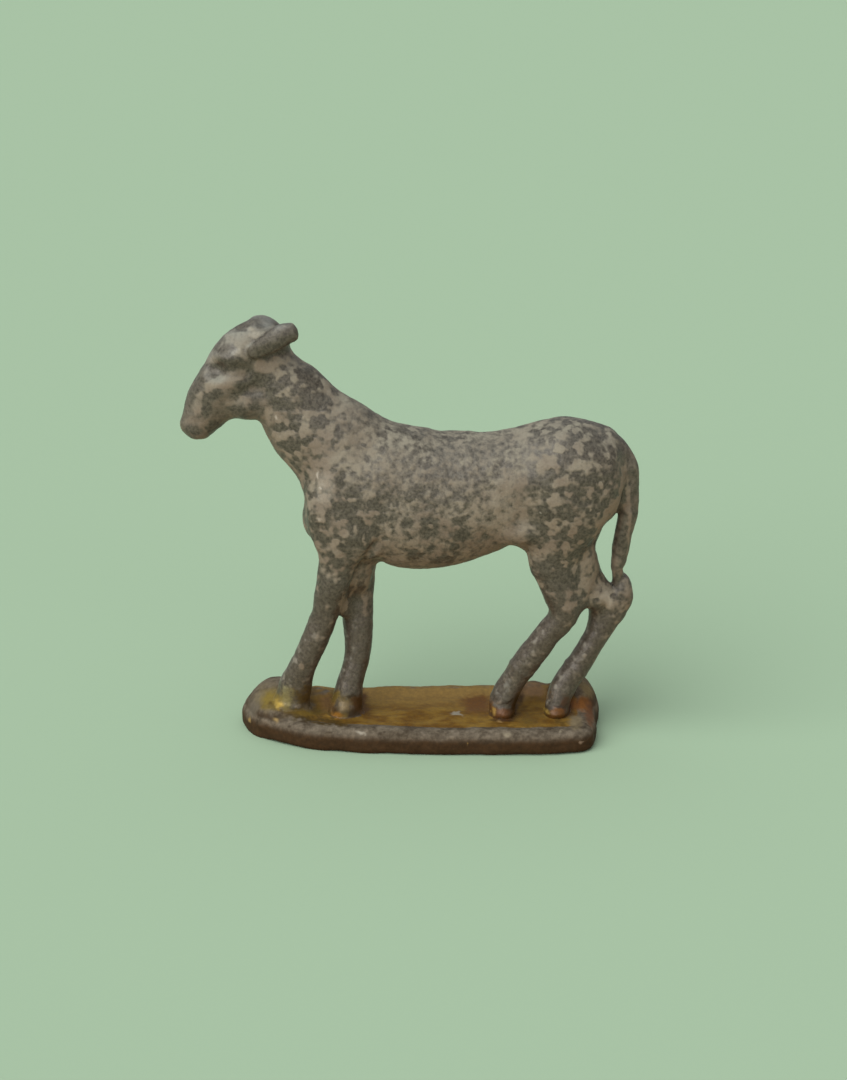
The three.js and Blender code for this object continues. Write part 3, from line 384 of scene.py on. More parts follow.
# The grain of cast lead is finer than this too.
BODY_GRIT = 0.3
TRUNK_WEAR = [
    # along, height, half length, half height, slant in degrees, share of the paint that is left
    (0, 25, 11, 9, 0, 0.42), (2.0, 30.6, 9.0, 1.3, 0, 0.58), (-5.8, 28.4, 3.4, 3, 0, 0.66),
    (-6.2, 21.6, 3.6, 4.6, 0, 0.36),
    (0.5, 19, 5.2, 3.6, 0, 0.66), (-9.9, 24.6, 1.6, 2.2, 0, 0.6), (8, 20.6, 3.6, 4.4, 0, 0.66),
    (9.4, 23.6, 2, 3.2, 0, 0.72), (16.4, 24.8, 5.4, 7.4, 0, 0.3), (14.3, 17.4, 2.6, 4.0, 0, 0.16),
    (17.0, 16.2, 1.5, 2.2, 0, 0.75), (18.7, 22.3, 0.4, 2.0, -32, 0.85),
    (19.9, 25.1, 0.3, 1.7, -10, 0.85), (10, 30.6, 0.62, 0.57, 0, 0.85),
    (10.7, 29.5, 0.39, 0.34, 0, 0.7), (12.4, 30.9, 0.39, 0.3, -20, 0.85),
    (13.9, 30.5, 0.46, 0.4, 0, 0.85), (14.4, 31.2, 0.29, 0.4, 0, 0.85),
    (15.3, 30.7, 0.21, 0.2, 0, 0.85), (15.6, 29.1, 0.49, 0.67, 20, 0.85),
    (13.6, 29, 0.46, 0.4, 0, 0.85), (12.6, 27.6, 1.04, 0.81, -10, 0.85),
    (15.7, 27.2, 1.5, 0.51, 18, 0.85), (15.3, 27.9, 0.46, 0.27, 0, 0.1),
    (14.1, 25.7, 0.52, 0.57, 0, 0.85), (13.2, 23.9, 1.25, 0.57, -22, 0.85),
    (16.7, 24.4, 0.36, 0.64, 0, 0.85), (17.7, 25.2, 0.46, 0.34, -10, 0.85),
    (18.8, 25.6, 0.18, 0.23, 0, 0.85), (18.4, 24.6, 0.18, 0.23, 0, 0.85),
    (17.7, 27.2, 0.16, 0.19, 0, 0.85), (14.7, 24.4, 0.29, 0.26, 0, 0.85),
    (16.7, 22.7, 0.2, 0.19, 0, 0.85), (17.7, 22.6, 0.2, 0.19, 0, 0.85),
    (13.4, 21, 1.05, 0.64, 10, 0.85), (13.7, 21.3, 0.3, 0.3, 0, 0.3),
    (15.6, 21.9, 0.32, 0.74, -8, 0.85), (15.1, 20.3, 0.39, 0.58, -25, 0.85),
    (15.9, 19.5, 0.4, 0.29, 0, 0.85), (12.5, 18.8, 1.25, 1.02, 10, 0.85),
    (12.2, 19.3, 0.66, 0.58, 15, 0.1), (14.4, 18.6, 0.29, 0.54, -8, 0.85),
    (14.2, 17.2, 0.53, 0.31, -20, 0.85), (17.5, 21.4, 0.56, 0.37, 10, 0.7),
    (17.1, 31.4, 0.98, 0.3, -25, 0.62), (18.7, 30.4, 0.39, 0.3, -35, 0.6),
    (19.7, 29.5, 0.23, 0.54, -15, 0.6), (12.7, 22.2, 0.85, 0.61, 0, 0.1),
    (11.9, 20.8, 0.56, 0.58, 0, 0.1), (12.4, 24.1, 0.46, 0.37, 0, 0.1),
    (12.4, 25.7, 0.65, 0.54, -10, 0.1), (15.7, 31.1, 0.33, 0.2, -20, 0.6),
    (16.3, 30, 0.23, 0.34, 0, 0.85), (18.5, 28.2, 0.16, 0.4, -15, 0.7), (13, 30, 0.26, 0.23, 0, 0.7),
    (11.3, 28.3, 0.2, 0.47, 30, 0.3), (10.8, 27.2, 0.33, 0.61, 25, 0.25),
    (-1.1, 21.4, 0.48, 0.58, 0, 0.1), (1.1, 21, 0.93, 1.05, 0, 0.1), (1.2, 21, 0.2, 0.26, 0, 0.7),
    (3.9, 21.7, 0.54, 0.44, 0, 0.1), (4.4, 20.2, 1.07, 0.64, 40, 0.1), (3.5, 18.8, 0.48, 0.52, 0, 0.1),
    (-0.5, 18.2, 0.79, 0.61, -10, 0.1), (2.4, 17.6, 1.13, 0.36, 8, 0.1),
    (1.2, 18.9, 0.57, 0.28, 15, 0.1), (-1.2, 20, 0.31, 0.49, 0, 0.2), (-2.7, 21.4, 0.34, 0.32, 0, 0.15),
    (-3.3, 20, 0.31, 0.19, 0, 0.2), (-4.3, 20.4, 0.39, 0.44, 30, 0.1), (4.6, 22, 0.34, 0.23, 30, 0.15),
    (2.7, 19.2, 0.23, 0.23, 0, 0.3), (-6.4, 24.3, 0.84, 0.64, 0, 0.1), (-7, 22.3, 1.46, 0.99, -20, 0.1),
    (-4.5, 23.3, 0.84, 0.64, -30, 0.1), (-5.4, 20.9, 1.47, 0.64, -25, 0.1),
    (-5.9, 19.5, 1.3, 0.7, -10, 0.1), (-3.8, 21.7, 0.45, 0.64, 0, 0.1),
    (-4.7, 24.3, 0.39, 0.38, 0, 0.7), (-4.4, 22.4, 0.45, 0.3, 0, 0.85),
    (-6.8, 23.8, 0.73, 0.21, 5, 0.75), (-5.6, 22.1, 0.23, 0.52, 35, 0.65),
    (-4.8, 21.4, 0.28, 0.52, 40, 0.65), (-7.5, 20.2, 0.54, 0.38, -20, 0.85),
    (-7.6, 21.4, 0.62, 0.24, 25, 0.85), (-6.2, 20.8, 0.19, 0.47, 0, 0.8),
    (-9.3, 20.2, 0.31, 0.32, 0, 0.85), (-8.3, 19.4, 0.45, 0.38, -20, 0.8),
    (-7.8, 18, 0.45, 0.32, -10, 0.8), (-9.7, 21.7, 0.37, 0.32, 0, 0.9),
    (-8.7, 20.7, 0.23, 0.29, 0, 0.75), (-5.4, 19.6, 0.17, 0.52, -20, 0.6),
    (-8.7, 26.8, 0.5, 0.2, 0, 0.1), (-8.3, 29.5, 0.25, 0.22, 0, 0.2), (-5.4, 29.5, 0.22, 0.2, 0, 0.2),
    (-7.1, 29.1, 0.31, 0.24, 0, 0.2), (-9.6, 28, 0.28, 0.24, 0, 0.2), (-6.4, 26.5, 0.34, 0.26, 0, 0.2),
    (-5.8, 25.9, 0.34, 0.3, 0, 0.2), (-8.4, 26, 0.28, 0.29, 0, 0.2), (-5, 27.6, 0.34, 0.35, 0, 0.25),
    (-3.3, 28.9, 0.45, 0.63, 0, 0.25), (-3.9, 28, 0.28, 0.35, 0, 0.3), (-4.8, 26.2, 0.34, 0.35, 0, 0.2),
    (-6.8, 27.1, 0.34, 0.23, -30, 0.3), (-10.6, 29.9, 0.67, 0.52, -10, 0.1),
    (-11.3, 28.5, 0.39, 0.69, -20, 0.1), (-10.4, 21.4, 0.51, 0.76, 0, 0.15),
    (-10.4, 24.4, 0.45, 0.29, 0, 0.25), (-7.8, 24.7, 0.34, 0.64, 0, 0.25),
    (-8.6, 24.4, 0.22, 0.29, 0, 0.3), (-10.7, 22.2, 0.34, 0.29, 0, 0.6),
    (0.1, 27.3, 0.73, 0.58, 0, 0.2), (-2.5, 24.3, 0.34, 0.35, 35, 0.3), (-1, 24, 0.67, 0.52, 0, 0.2),
    (0, 24.8, 0.51, 0.69, 0, 0.2), (1.3, 23.3, 0.62, 0.35, 20, 0.2), (1.6, 24.4, 0.45, 0.41, 0, 0.25),
    (2, 26.3, 0.39, 0.64, 0, 0.25), (-3.6, 30.6, 0.5, 0.35, -20, 0.3),
    (-1.9, 30.9, 1.12, 0.35, -8, 0.25), (-0.3, 30.4, 0.67, 0.4, -10, 0.2),
    (3.1, 30.2, 1.45, 0.35, -5, 0.25), (-4.9, 31.1, 0.33, 0.29, 0, 0.75),
    (-0.4, 31, 0.61, 0.2, -8, 0.85), (-1.9, 29.4, 0.5, 0.4, 0, 0.75), (-1, 29.8, 0.5, 0.21, 0, 0.75),
    (4.2, 29.5, 0.61, 0.35, 15, 0.75), (1.2, 29.4, 0.5, 0.52, 0, 0.65),
]
TRUNK_GLINTS = [
    # painted highlights and glints: along, height, half length, half height, slant in degrees, brightness
    (-9.2, 24.9, 0.9, 1.5, 0, 0.16), (-9.9, 26.3, 0.1, 0.4, 15, 0.5), (-9.75, 24.8, 0.14, 0.14, 0, 0.7),
    (-9.7, 21.7, 0.25, 0.16, 0, 0.3), (11.9, 22.6, 0.14, 0.08, 25, 0.5), (19.2, 13.5, 0.6, 0.8, 30, 0.22),
]


def painted_lead(name):
    """Thin cream oil paint brushed on a lead casting. It gives the eye a chalky, dirty coat, worn off in
    specks and patches down to grey metal that is dull, with a soft shine where it is rubbed. Light and shade
    are painted into its colour as well: a cool sky reflection on what faces up, glints, paler flecks on the
    leg sides that face the key lamp, and brown shade under the figure and in its hollows."""
    finish = bpy.data.materials.new(name)
    finish.use_nodes = True
    tree = finish.node_tree
    coat = tree.nodes["Principled BSDF"]
    place = add(tree, "TexCoord", {}, 3)
    wear = "cover", "coarse", "smooth", "soil_and_shade", "sky_reflection", "painted_glint", "handled_and_lit"
    wear = (add(tree, "Attribute", {}, 2, attribute_name=name) for name in wear)
    cover, coarse, smooth, soil_and_shade, sky_reflection, painted_glint, handled_and_lit = wear
    # Stains, with painted contact shadows and painted glints among them.
    stain_shade_and_glint = add(tree, "Attribute", {}, 0, attribute_name="stain_shade_and_glint")
    stain_shade_and_glint_cover = add(tree, "Attribute", {}, 3, attribute_name="stain_shade_and_glint")
    grains = (SPECK, 2, 0.5), (CHIP, 1, 0.5), (RUBBED_FLECK, 1.5, 0.5), (CLOUD, 2, 0.5), (BODY_GRIT, 2, 0.6)
    specks, patches, flecks, clouds, grit = (
        add(tree, "TexNoise", {"Vector": place, "Scale": 1000 / length, "Detail": fine, "Roughness": rough})
        for length, fine, rough in grains)
    specks = add(tree, "Math", {0: specks, 1: 1.3, 2: -0.15}, operation="MULTIPLY_ADD")
    patches = add(tree, "Math", {0: patches, 1: 1.4, 2: -0.2}, operation="MULTIPLY_ADD")
    chips = add(tree, "Mix", {0: coarse, 2: specks, 3: patches}, 0, data_type="FLOAT")
    chips = add(tree, "Mix", {0: smooth, 2: chips, 3: clouds}, 0, data_type="FLOAT")
    left = add(tree, "Math", {0: cover, 1: 0.75, 2: chips}, operation="MULTIPLY_ADD")
    speckled = add(tree, "Math", {0: 1.0, 1: coarse}, operation="SUBTRACT")
    soft = add(tree, "Math", {0: smooth, 1: speckled}, operation="MAXIMUM")
    thin = add(tree, "MapRange", {0: soft, 3: 0.69, 4: 0.62})
    thick = add(tree, "MapRange", {0: soft, 3: 1.07, 4: 1.13})
    paint = add(tree, "MapRange", {0: left, 1: thin, 2: thick}, interpolation_type="SMOOTHSTEP")
    cloudy = add(tree, "MapRange", {0: clouds, 1: 0.35, 2: 0.65}, interpolation_type="SMOOTHSTEP")
    cream = add(tree, "Mix", {0: cloudy, 6: linear(CREAM), 7: linear(CREAM_WARM)}, 2, data_type="RGBA")
    # Paint that faces up is cooler: a painted sky reflection.
    cream = add(tree, "Mix", {0: sky_reflection, 6: cream, 7: linear(CREAM_SKY_REFLECTION)}, 2, data_type="RGBA")
    # Painted shade and soil glaze the paint brown.
    shade_and_grime = {0: soil_and_shade, 6: cream, 7: linear(SHADE_AND_GRIME_TINT)}
    cream = add(tree, "Mix", shade_and_grime, 2, data_type="RGBA", blend_type="MULTIPLY")
    gritty = add(tree, "MapRange", {0: grit, 1: 0.3, 2: 0.7}, interpolation_type="SMOOTHSTEP")
    # Bare metal that faces up takes a painted sky reflection.
    sheen = add(tree, "Math", {0: sky_reflection, 1: cloudy}, operation="MULTIPLY")
    # Rubbed flecks, thicker on the sides that face the key lamp: wear with a painted highlight.
    flecked_and_lit = add(tree, "MapRange", {0: flecks, 1: 0.52, 2: 0.74}, interpolation_type="SMOOTHSTEP")
    flecked_and_lit = add(tree, "Math", {0: flecked_and_lit, 1: handled_and_lit}, operation="MULTIPLY")
    spread = add(tree, "Math", {0: gritty, 1: 0.2, 2: stain_shade_and_glint_cover}, operation="MULTIPLY_ADD")
    spread = add(tree, "MapRange", {0: spread, 1: 0.1, 2: 0.7}, interpolation_type="SMOOTHSTEP")
    layers = (
        (gritty, linear(LEAD_RUBBED)), (soil_and_shade, linear(LEAD_SHADE_AND_SOIL)), (sheen, linear(LEAD_SKY_REFLECTION)),
        (paint, cream), (painted_glint, linear(GLINT_COLOUR)), (flecked_and_lit, linear(FLECK_AND_LIGHT)), (spread, stain_shade_and_glint),
    )
    colour = linear(LEAD_DARK)
    for share, layer in layers:
        colour = add(tree, "Mix", {0: share, 6: colour, 7: layer}, 2, data_type="RGBA")
    mottle = add(tree, "MapRange", {0: grit, 1: 0.25, 2: 0.75, 3: 0.82, 4: 1.16})
    colour = add(tree, "VectorMath", {0: colour, 3: mottle}, operation="SCALE")
    tree.links.new(colour, coat.inputs["Base Color"])
    tree.links.new(add(tree, "MapRange", {0: paint, 3: 0.22, 4: 0.0}), coat.inputs["Metallic"])
    tree.links.new(add(tree, "MapRange", {0: paint, 3: 0.43, 4: 0.7}), coat.inputs["Roughness"])
    relief = add(tree, "Math", {0: paint, 1: 0.5, 2: grit}, operation="MULTIPLY_ADD")
    bumps = add(tree, "Bump", {"Strength": 0.8, "Distance": PAINT_RELIEF / 1000, "Height": relief})
    tree.links.new(bumps, coat.inputs["Normal"])
    return finish


body_finish = painted_lead("worn_cream_oil_paint_on_lead")
barrel = [(x, 0, (top + low) / 2, (top - low) / 2, wide / 2) for x, top, low, wide in BARREL]
melt("torso", swept(barrel, start_round=1.6, end_round=1.9, sides=48), fillet=0.2)
for side in (-1, 1):
    mirror = np.array([1, side, 1])
    melt("torso", egg(SHOULDER[0] * mirror + SOLES, SHOULDER[1]), fillet=2.0)
    melt("torso", egg(HAUNCH[0] * mirror + SOLES, HAUNCH[1]), fillet=2.0)
    melt("torso", egg(ELBOW[0] * mirror + SOLES, ELBOW[1], pitch=30), fillet=1.3)
    melt("torso", egg(FLANK[0] * mirror + SOLES, FLANK[1]), fillet=1.0)
melt("torso", egg(BREAST[0] + SOLES, BREAST[1]), fillet=1.2)
for middle, radii in WEBS:
    melt("torso", egg(middle + SOLES, radii), fillet=1.0)

# Neck and head: poured with the poll, brows and jowl, and let into the trunk with a spigot.
# The face is smooth and rubbed; a crease runs under each brow.

NECK = [
    # along, across, height, half the depth, half the width
    (-4.24, 0, 24.26, 5.3, 3.5), (-7.5, 0, 27.5, 5.13, 3.5), (-10.9, 0, 30.6, 4.4, 3.0),
    (-13.4, 0, 34.46, 3.45, 2.5), (-14.3, 0, 36.4, 2.35, 2.2),
]
NECK_JOINT = np.array([-7.6, 0, 27.4]) + SOLES
NECK_AXIS = np.array([-0.7, 0, 0.714])
HEAD = [
    (-14.9, 0, 39.14, 2.45, 2.2), (-16.84, 0, 37.15, 3.18, 2.54), (-18.9, 0, 35.1, 2.6, 2.8),
    (-20.6, 0, 32.35, 2.53, 2.05), (-22.0, 0, 30.1, 1.75, 1.65),
]
CROWN = (-18.03, 0, 37.33), (2.9, 2.7, 1.6)
BROW_CREASE = [
    (-21.4, 36.7, 0.8), (-20.3, 36.5, 0.85), (-18.9, 36.35, 0.88), (-17.6, 36.35, 0.85), (-16.5, 36.0, 0.8),
]
CREASE_OUTSIDE = 0.62
POLL_PIT = (-15.2, -1.5, 41.0), (0.6, 0.5, 0.45)
JOWL = (-16.8, 0, 32.9), (3.4, 2.35, 2.05)
HEAD_WEAR = [
    # columns as for the trunk's wear, here and on the ears, legs and tail
    (-17, 36, 8, 7, 0, 0.45), (-10.2, 31, 3.4, 5, -40, 0.62), (-19, 35.3, 1.84, 0.69, 12, 0.92),
    (-20.4, 34.6, 0.5, 0.4, 0, 0.85), (-17.2, 39.1, 0.95, 1.49, 0, 0.8),
    (-18.4, 39.7, 0.33, 0.74, -15, 0.8), (-15.6, 40.1, 0.61, 0.4, 10, 0.92),
    (-16.4, 40.7, 0.5, 0.29, 0, 0.75), (-17.5, 38, 0.61, 0.52, 0, 0.8),
    (-14.5, 37.3, 1.45, 0.75, 22, 0.92), (-15.7, 36.4, 0.39, 0.34, 20, 0.85),
    (-13.5, 36.2, 0.61, 0.52, 0, 0.85), (-12.3, 35.9, 0.28, 0.57, 15, 0.8),
    (-13.1, 34.4, 0.67, 0.4, 30, 0.85), (-11.2, 31.4, 0.53, 1.33, -20, 0.85),
    (-14.6, 32.5, 0.5, 0.35, 15, 0.8), (-13.4, 29.9, 0.95, 0.35, 0, 0.85),
    (-11.1, 28.9, 0.9, 0.35, 0, 0.8), (-8.2, 33.9, 1.4, 0.46, -38, 0.7),
    (-8.2, 32, 0.84, 0.35, 25, 0.85), (-7.1, 32.5, 0.34, 0.4, 0, 0.7),
    (-11.7, 37.1, 0.67, 0.34, -35, 0.65), (-15, 31.9, 0.39, 0.35, 0, 0.75),
    (-13.9, 31.5, 0.5, 0.4, 0, 0.7), (-21.7, 32.8, 0.5, 0.87, -10, 0.7),
    (-21, 30.9, 0.42, 0.55, -20, 0.65), (-22.7, 31.9, 0.31, 0.69, 0, 0.5),
    (-21.5, 33.9, 0.28, 0.4, 0, 0.75), (-17, 33.5, 0.67, 0.35, 0, 0.7),
    (-18.3, 33.1, 0.67, 0.4, 0, 0.65), (-14.7, 34.8, 0.34, 0.23, -30, 0.7),
    # The bare strips along the lower edge of the crown, with a share of 0.1, also stand for painted shade
    # under the brow.
    (-19.1, 34.7, 0.28, 0.35, 0, 0.85), (-19.2, 36.9, 1.84, 0.43, 0, 0.1),
    (-17.3, 37.1, 1.06, 0.57, -28, 0.1), (-16.4, 36.1, 0.39, 0.34, -30, 0.1),
    (-18.4, 38.4, 0.61, 0.8, -10, 0.2), (-19.8, 38.5, 0.61, 0.86, -10, 0.35),
    (-19.3, 39.1, 0.33, 0.34, 0, 0.6), (-17.1, 35.1, 0.95, 0.46, 10, 0.1),
    (-15.3, 35.6, 1.23, 0.75, -10, 0.1), (-14.2, 34.5, 0.61, 0.81, -20, 0.1),
    (-19.8, 34, 0.78, 0.58, 20, 0.12), (-21, 33.8, 0.28, 0.58, 0, 0.15),
    (-17.1, 34.2, 0.95, 0.35, 8, 0.1), (-15.7, 33.9, 0.78, 0.63, 0, 0.12),
    (-17.7, 32.5, 0.84, 0.46, 0, 0.2), (-16.2, 32.9, 0.62, 0.4, 0, 0.15),
    (-20.8, 32.5, 0.5, 0.81, -10, 0.12), (-22.1, 30.3, 0.73, 0.64, -20, 0.12),
    (-20.2, 31, 0.39, 0.64, -30, 0.12), (-20.6, 33.9, 0.39, 0.35, 0, 0.2),
    (-21.6, 31.9, 0.34, 0.29, 0, 0.3), (-17.1, 32, 1.46, 0.26, 0, 0.3),
    (-13.1, 35.6, 0.56, 0.46, 0, 0.1), (-12.2, 34.9, 0.56, 0.52, 0, 0.1),
    (-10.9, 35.6, 1.06, 1.04, -20, 0.12), (-11.4, 34.8, 0.39, 0.29, 20, 0.6),
    (-12.9, 32.7, 1.46, 0.69, -25, 0.1), (-10.3, 33.4, 1.85, 0.98, -22, 0.1),
    (-12.1, 31.1, 0.56, 0.98, -15, 0.1), (-13.4, 30.6, 0.56, 0.46, -10, 0.1),
    (-9.8, 31.3, 0.84, 0.58, 20, 0.12), (-12.7, 28.9, 0.96, 0.46, -10, 0.12),
    (-10.9, 29.4, 0.51, 0.46, -20, 0.12), (-8, 30.5, 0.22, 0.29, 0, 0.25),
    (-8.4, 29, 0.22, 0.29, 0, 0.25), (-9.4, 28.6, 0.73, 0.35, 0, 0.7),
    (-9.3, 34.8, 0.34, 0.35, -30, 0.3), (-12.1, 32.5, 0.17, 0.52, -15, 0.65),
    (-7.5, 31.8, 0.5, 0.35, 20, 0.2), (-15.5, 41.5, 1.5, 0.46, 0, 0.15),
    (-14.8, 41.2, 0.33, 0.29, -20, 0.02), (-17.2, 40.7, 0.67, 0.46, 35, 0.2),
]
# Painted highlights on the poll, forehead and cheek.
HEAD_GLINTS = [
    (-15.7, 40.1, 0.5, 0.3, 10, 0.14), (-16.4, 40.7, 0.35, 0.2, 0, 0.12), (-13.9, 31.8, 0.1, 0.14, 15, 0.6),
    (-19.9, 37.9, 0.5, 0.7, -10, 0.15), (-17.8, 38.4, 0.4, 0.4, 0, 0.2),
]
melt("head_and_neck", swept(NECK, end_round=1.56, sides=44), fillet=1.6)
melt("head_and_neck", swept(HEAD, start_round=1.87, end_round=1.22, sides=44), fillet=0.8)
melt("head_and_neck", egg(JOWL[0] + SOLES, JOWL[1]), fillet=0.8)
melt("head_and_neck", egg(CROWN[0] + SOLES, CROWN[1], pitch=45), fillet=0.9)
for side in (-1, 1):
    crease = laid(BROW_CREASE, side) + np.array([0, CREASE_OUTSIDE * side, 0, 0, 0])
    scoop(swept(crease, start_round=0.3, end_round=0.3), edge=0.7)
scoop(egg(POLL_PIT[0] + SOLES, POLL_PIT[1]), edge=0.4)

# Ears: thick leaves laid back against the neck, poured by themselves and soldered into pockets.
# Handling has rubbed them bare.

EAR_WEAR = [(-14.0, 39.2, 2.8, 1.2, 25, 0.02)]
EARS = {
    "near_ear": [
        (-15.95, -2.7, 38.35, 0.82, 0.55), (-14.4, -3.05, 39.35, 1.05, 0.7), (-13.0, -3.2, 40.25, 1.1, 0.75),
        (-12.2, -3.2, 40.5, 0.97, 0.68),
    ],
    "far_ear": [
        (-16.25, 2.2, 38.3, 0.75, 0.5), (-15.0, 2.6, 38.36, 1.0, 0.72), (-14.2, 2.8, 38.4, 1.0, 0.75),
    ],
}
for part, rows in EARS.items():
    melt(part, swept(rows, start_round=0.72, end_round=0.55), fillet=0.2)

# The same paint with little of it left: the eye sees dull grey metal with a soft shine.
metal_finish = painted_lead("rubbed_lead_with_remains_of_paint")

# Legs: each poured by itself with its hoof and soldered to the trunk, with the sole let into the
# slab. Nearly all their paint is gone; the hooves keep a red-brown one.

LEGS = {
    "near_foreleg": [
        (-7.7, -2.2, 19.9, 1.9, 1.2), (-8.2, -1.8, 15.5, 1.92, 1.5), (-8.95, -1.5, 12.9, 1.55, 1.4),
        (-9.45, -1.25, 10.9, 1.36, 1.35), (-10.15, -1.05, 8.9, 1.3, 1.33), (-10.98, -0.85, 6.9, 1.3, 1.3),
        (-11.8, -0.6, 4.9, 1.4, 1.3), (-12.4, -0.2, 3.2, 1.68, 1.4), (-12.65, 0.2, 2.0, 1.75, 1.5),
        (-12.8, 0.4, 1.0, 1.75, 1.5),
    ],
    "far_foreleg": [
        (-6.3, 2.2, 19.9, 2.1, 1.2), (-6.2, 1.4, 14.4, 1.8, 1.5), (-6.2, 1.2, 11.9, 1.62, 1.42),
        (-6.16, 1.05, 10.0, 1.54, 1.35), (-6.18, 0.85, 8.2, 1.47, 1.33), (-6.24, 0.65, 6.4, 1.4, 1.3),
        (-6.56, 0.45, 4.5, 1.26, 1.28), (-6.92, 0.3, 3.2, 1.28, 1.3), (-7.25, 0.15, 1.6, 1.5, 1.4),
        (-7.5, 0.1, 0.0, 1.7, 1.5),
    ],
    "near_hind_leg": [
        (14.3, -2.4, 23.7, 4.08, 1.89), (13.3, -1.81, 17.6, 2.6, 1.69), (13.6, -1.6, 15.5, 2.12, 1.55),
        (14.0, -1.5, 13.6, 1.85, 1.45), (14.5, -1.3, 11.7, 1.68, 1.42), (14.15, -1.15, 10.3, 1.45, 1.36),
        (13.0, -1.0, 8.9, 1.32, 1.32), (12.1, -0.85, 7.6, 1.4, 1.3), (11.2, -0.7, 6.24, 1.4, 1.28),
        (10.33, -0.5, 4.87, 1.34, 1.26), (9.55, -0.35, 3.5, 1.26, 1.26), (8.9, -0.2, 2.2, 1.33, 1.33),
        (8.45, -0.1, 1.0, 1.35, 1.38), (8.4, -0.1, 0.0, 1.35, 1.4),
    ],
    "far_hind_leg": [
        (14.3, 2.4, 23.7, 4.08, 1.89), (14.5, 1.4, 17.6, 2.6, 1.69), (15.7, 0.95, 15.3, 2.2, 1.55),
        (16.8, 0.9, 13.9, 1.8, 1.5), (18.0, 0.95, 12.6, 1.42, 1.45), (19.2, 1.1, 11.7, 1.3, 1.42),
        (19.0, 1.15, 10.7, 2.0, 1.38), (18.6, 1.05, 9.45, 1.62, 1.32), (18.1, 0.95, 8.2, 1.33, 1.3),
        (17.42, 0.8, 7.0, 1.26, 1.28), (16.68, 0.65, 5.74, 1.26, 1.26), (15.87, 0.5, 4.5, 1.26, 1.26),
        (14.95, 0.35, 3.28, 1.28, 1.28), (14.3, 0.2, 2.0, 1.27, 1.3), (14.05, 0.1, 1.0, 1.22, 1.3),
        (13.95, 0.1, 0.0, 1.25, 1.3),
    ],
}
# Above its joint a leg's metal belongs to the trunk, except behind HOCK_FRONT, on the far hock.
HOCK_FRONT = 18.9
LEG_JOINTS = {"near_foreleg": 14.3, "far_foreleg": 14.3, "near_hind_leg": 14.47, "far_hind_leg": 14.47}
# A hind leg is swept in two lengths that share a row between these heights, so that its foot can run
# into the ground with a smaller fillet.
SHANK_END = 4.4
PASTERN_START = 4.9
HOCK_KNOB = (20.45, 1.2, 12.3), (1.1, 1.3, 2.15)
HOOVES = {
    # middle of the hoof lump, radii
    "near_foreleg": ((-13.0, -0.1, 0.9), (1.4, 1.1, 0.8)),
    "far_foreleg": ((-7.6, -0.65, 0.45), (1.0, 1.0, 1.0)),
    "near_hind_leg": ((8.5, -1.0, 0.2), (1.0, 0.9, 0.65)),
    "far_hind_leg": ((13.9, -0.85, 0.2), (1.0, 0.9, 0.62)),
}
LEG_WEAR = [
    (-9.0, 7.0, 7.0, 7.8, 0, 0.12), (12.5, 6.0, 9.0, 8.0, 0, 0.16), (15.1, 12.6, 0.8, 1.4, -20, 0.85),
    (19.4, 12.9, 0.95, 1.15, 25, 0.95), (20.0, 12.8, 0.3, 0.35, 0, 0.15), (20.6, 14.2, 0.35, 0.8, 0, 0.2),
    (17.6, 13.5, 1.1, 0.16, 12, 0.15), (17.9, 13.0, 1.0, 0.18, 12, 0.8), (17.2, 12.6, 0.8, 0.16, 10, 0.15),
    (16.1, 12.7, 1.0, 0.7, 0, 0.3), (12.3, 14.3, 0.4, 1.0, -25, 0.85),
    (14.3, 16.4, 0.4, 0.3, 0, 0.75), (-7.5, 12.1, 0.35, 1.2, 0, 0.85), (-6.5, 14.0, 0.3, 1.6, -12, 0.85),
    (-4.9, 13.7, 0.4, 2.9, 0, 0.9), (-8.9, 15.3, 0.7, 0.5, 0, 0.7), (-11.6, 5.6, 0.3, 0.8, -20, 0.7),
]
for part, rows in LEGS.items():
    if "fore" in part:
        melt(part, swept(rows, end_round=0.8), fillet=0.9)
    else:
        shank = [row for row in rows if row[2] > SHANK_END]
        pastern = [row for row in rows if row[2] < PASTERN_START]
        melt(part, swept(shank, end_round=0.1), fillet=0.9)
        melt(part, swept(pastern, start_round=0.1, end_round=0.8), fillet=0.4)
for side in (-1, 1):
    scoop(swept(laid(ELBOW_FOLD, side), start_round=0.2, end_round=0.2), edge=0.8)
    scoop(swept(laid(FLANK_FOLD, side), start_round=0.1, end_round=0.1), edge=0.2)
melt("far_hind_leg", egg(HOCK_KNOB[0] + SOLES, HOCK_KNOB[1]), fillet=0.45)
for part, (middle, radii) in HOOVES.items():
    melt(part, egg(middle + SOLES, radii), fillet=0.3)

# Tail: a thin rod of the same metal, poured by itself and soldered into a groove of the rump. It hangs
# down to the far hock, which carries its tip. Painted like the trunk, and rubbed along its back.

TAIL = [
    (16.8, 0, 26.9, 1.05, 1.0), (19.1, 0, 28.0, 1.1, 1.05), (20.55, 0, 26.3, 1.05, 1.05),
    (20.9, 0, 24.5, 1.0, 1.0), (20.85, 0, 22.4, 1.0, 1.0), (20.75, 0.05, 21.2, 1.0, 1.0),
    (20.55, 0.15, 19.9, 0.95, 0.95), (20.35, 0.3, 18.6, 0.9, 0.95),
    (20.16, 0.45, 17.3, 0.85, 0.9), (20.02, 0.65, 16.0, 0.75, 0.85), (19.85, 0.8, 15.3, 0.62, 0.8),
    (19.95, 0.95, 14.6, 0.55, 0.8), (20.1, 1.2, 13.4, 0.65, 0.8),
]
TAIL_WEAR = [
    (20.6, 22.0, 0.9, 6.0, 4, 0.3), (20.95, 21.0, 0.22, 4.5, 6, 0.75), (20.0, 24.6, 0.3, 2.0, -8, 0.85),
]
melt("tail", swept(TAIL[:5], start_round=0.5, end_round=0.5), fillet=0.9)
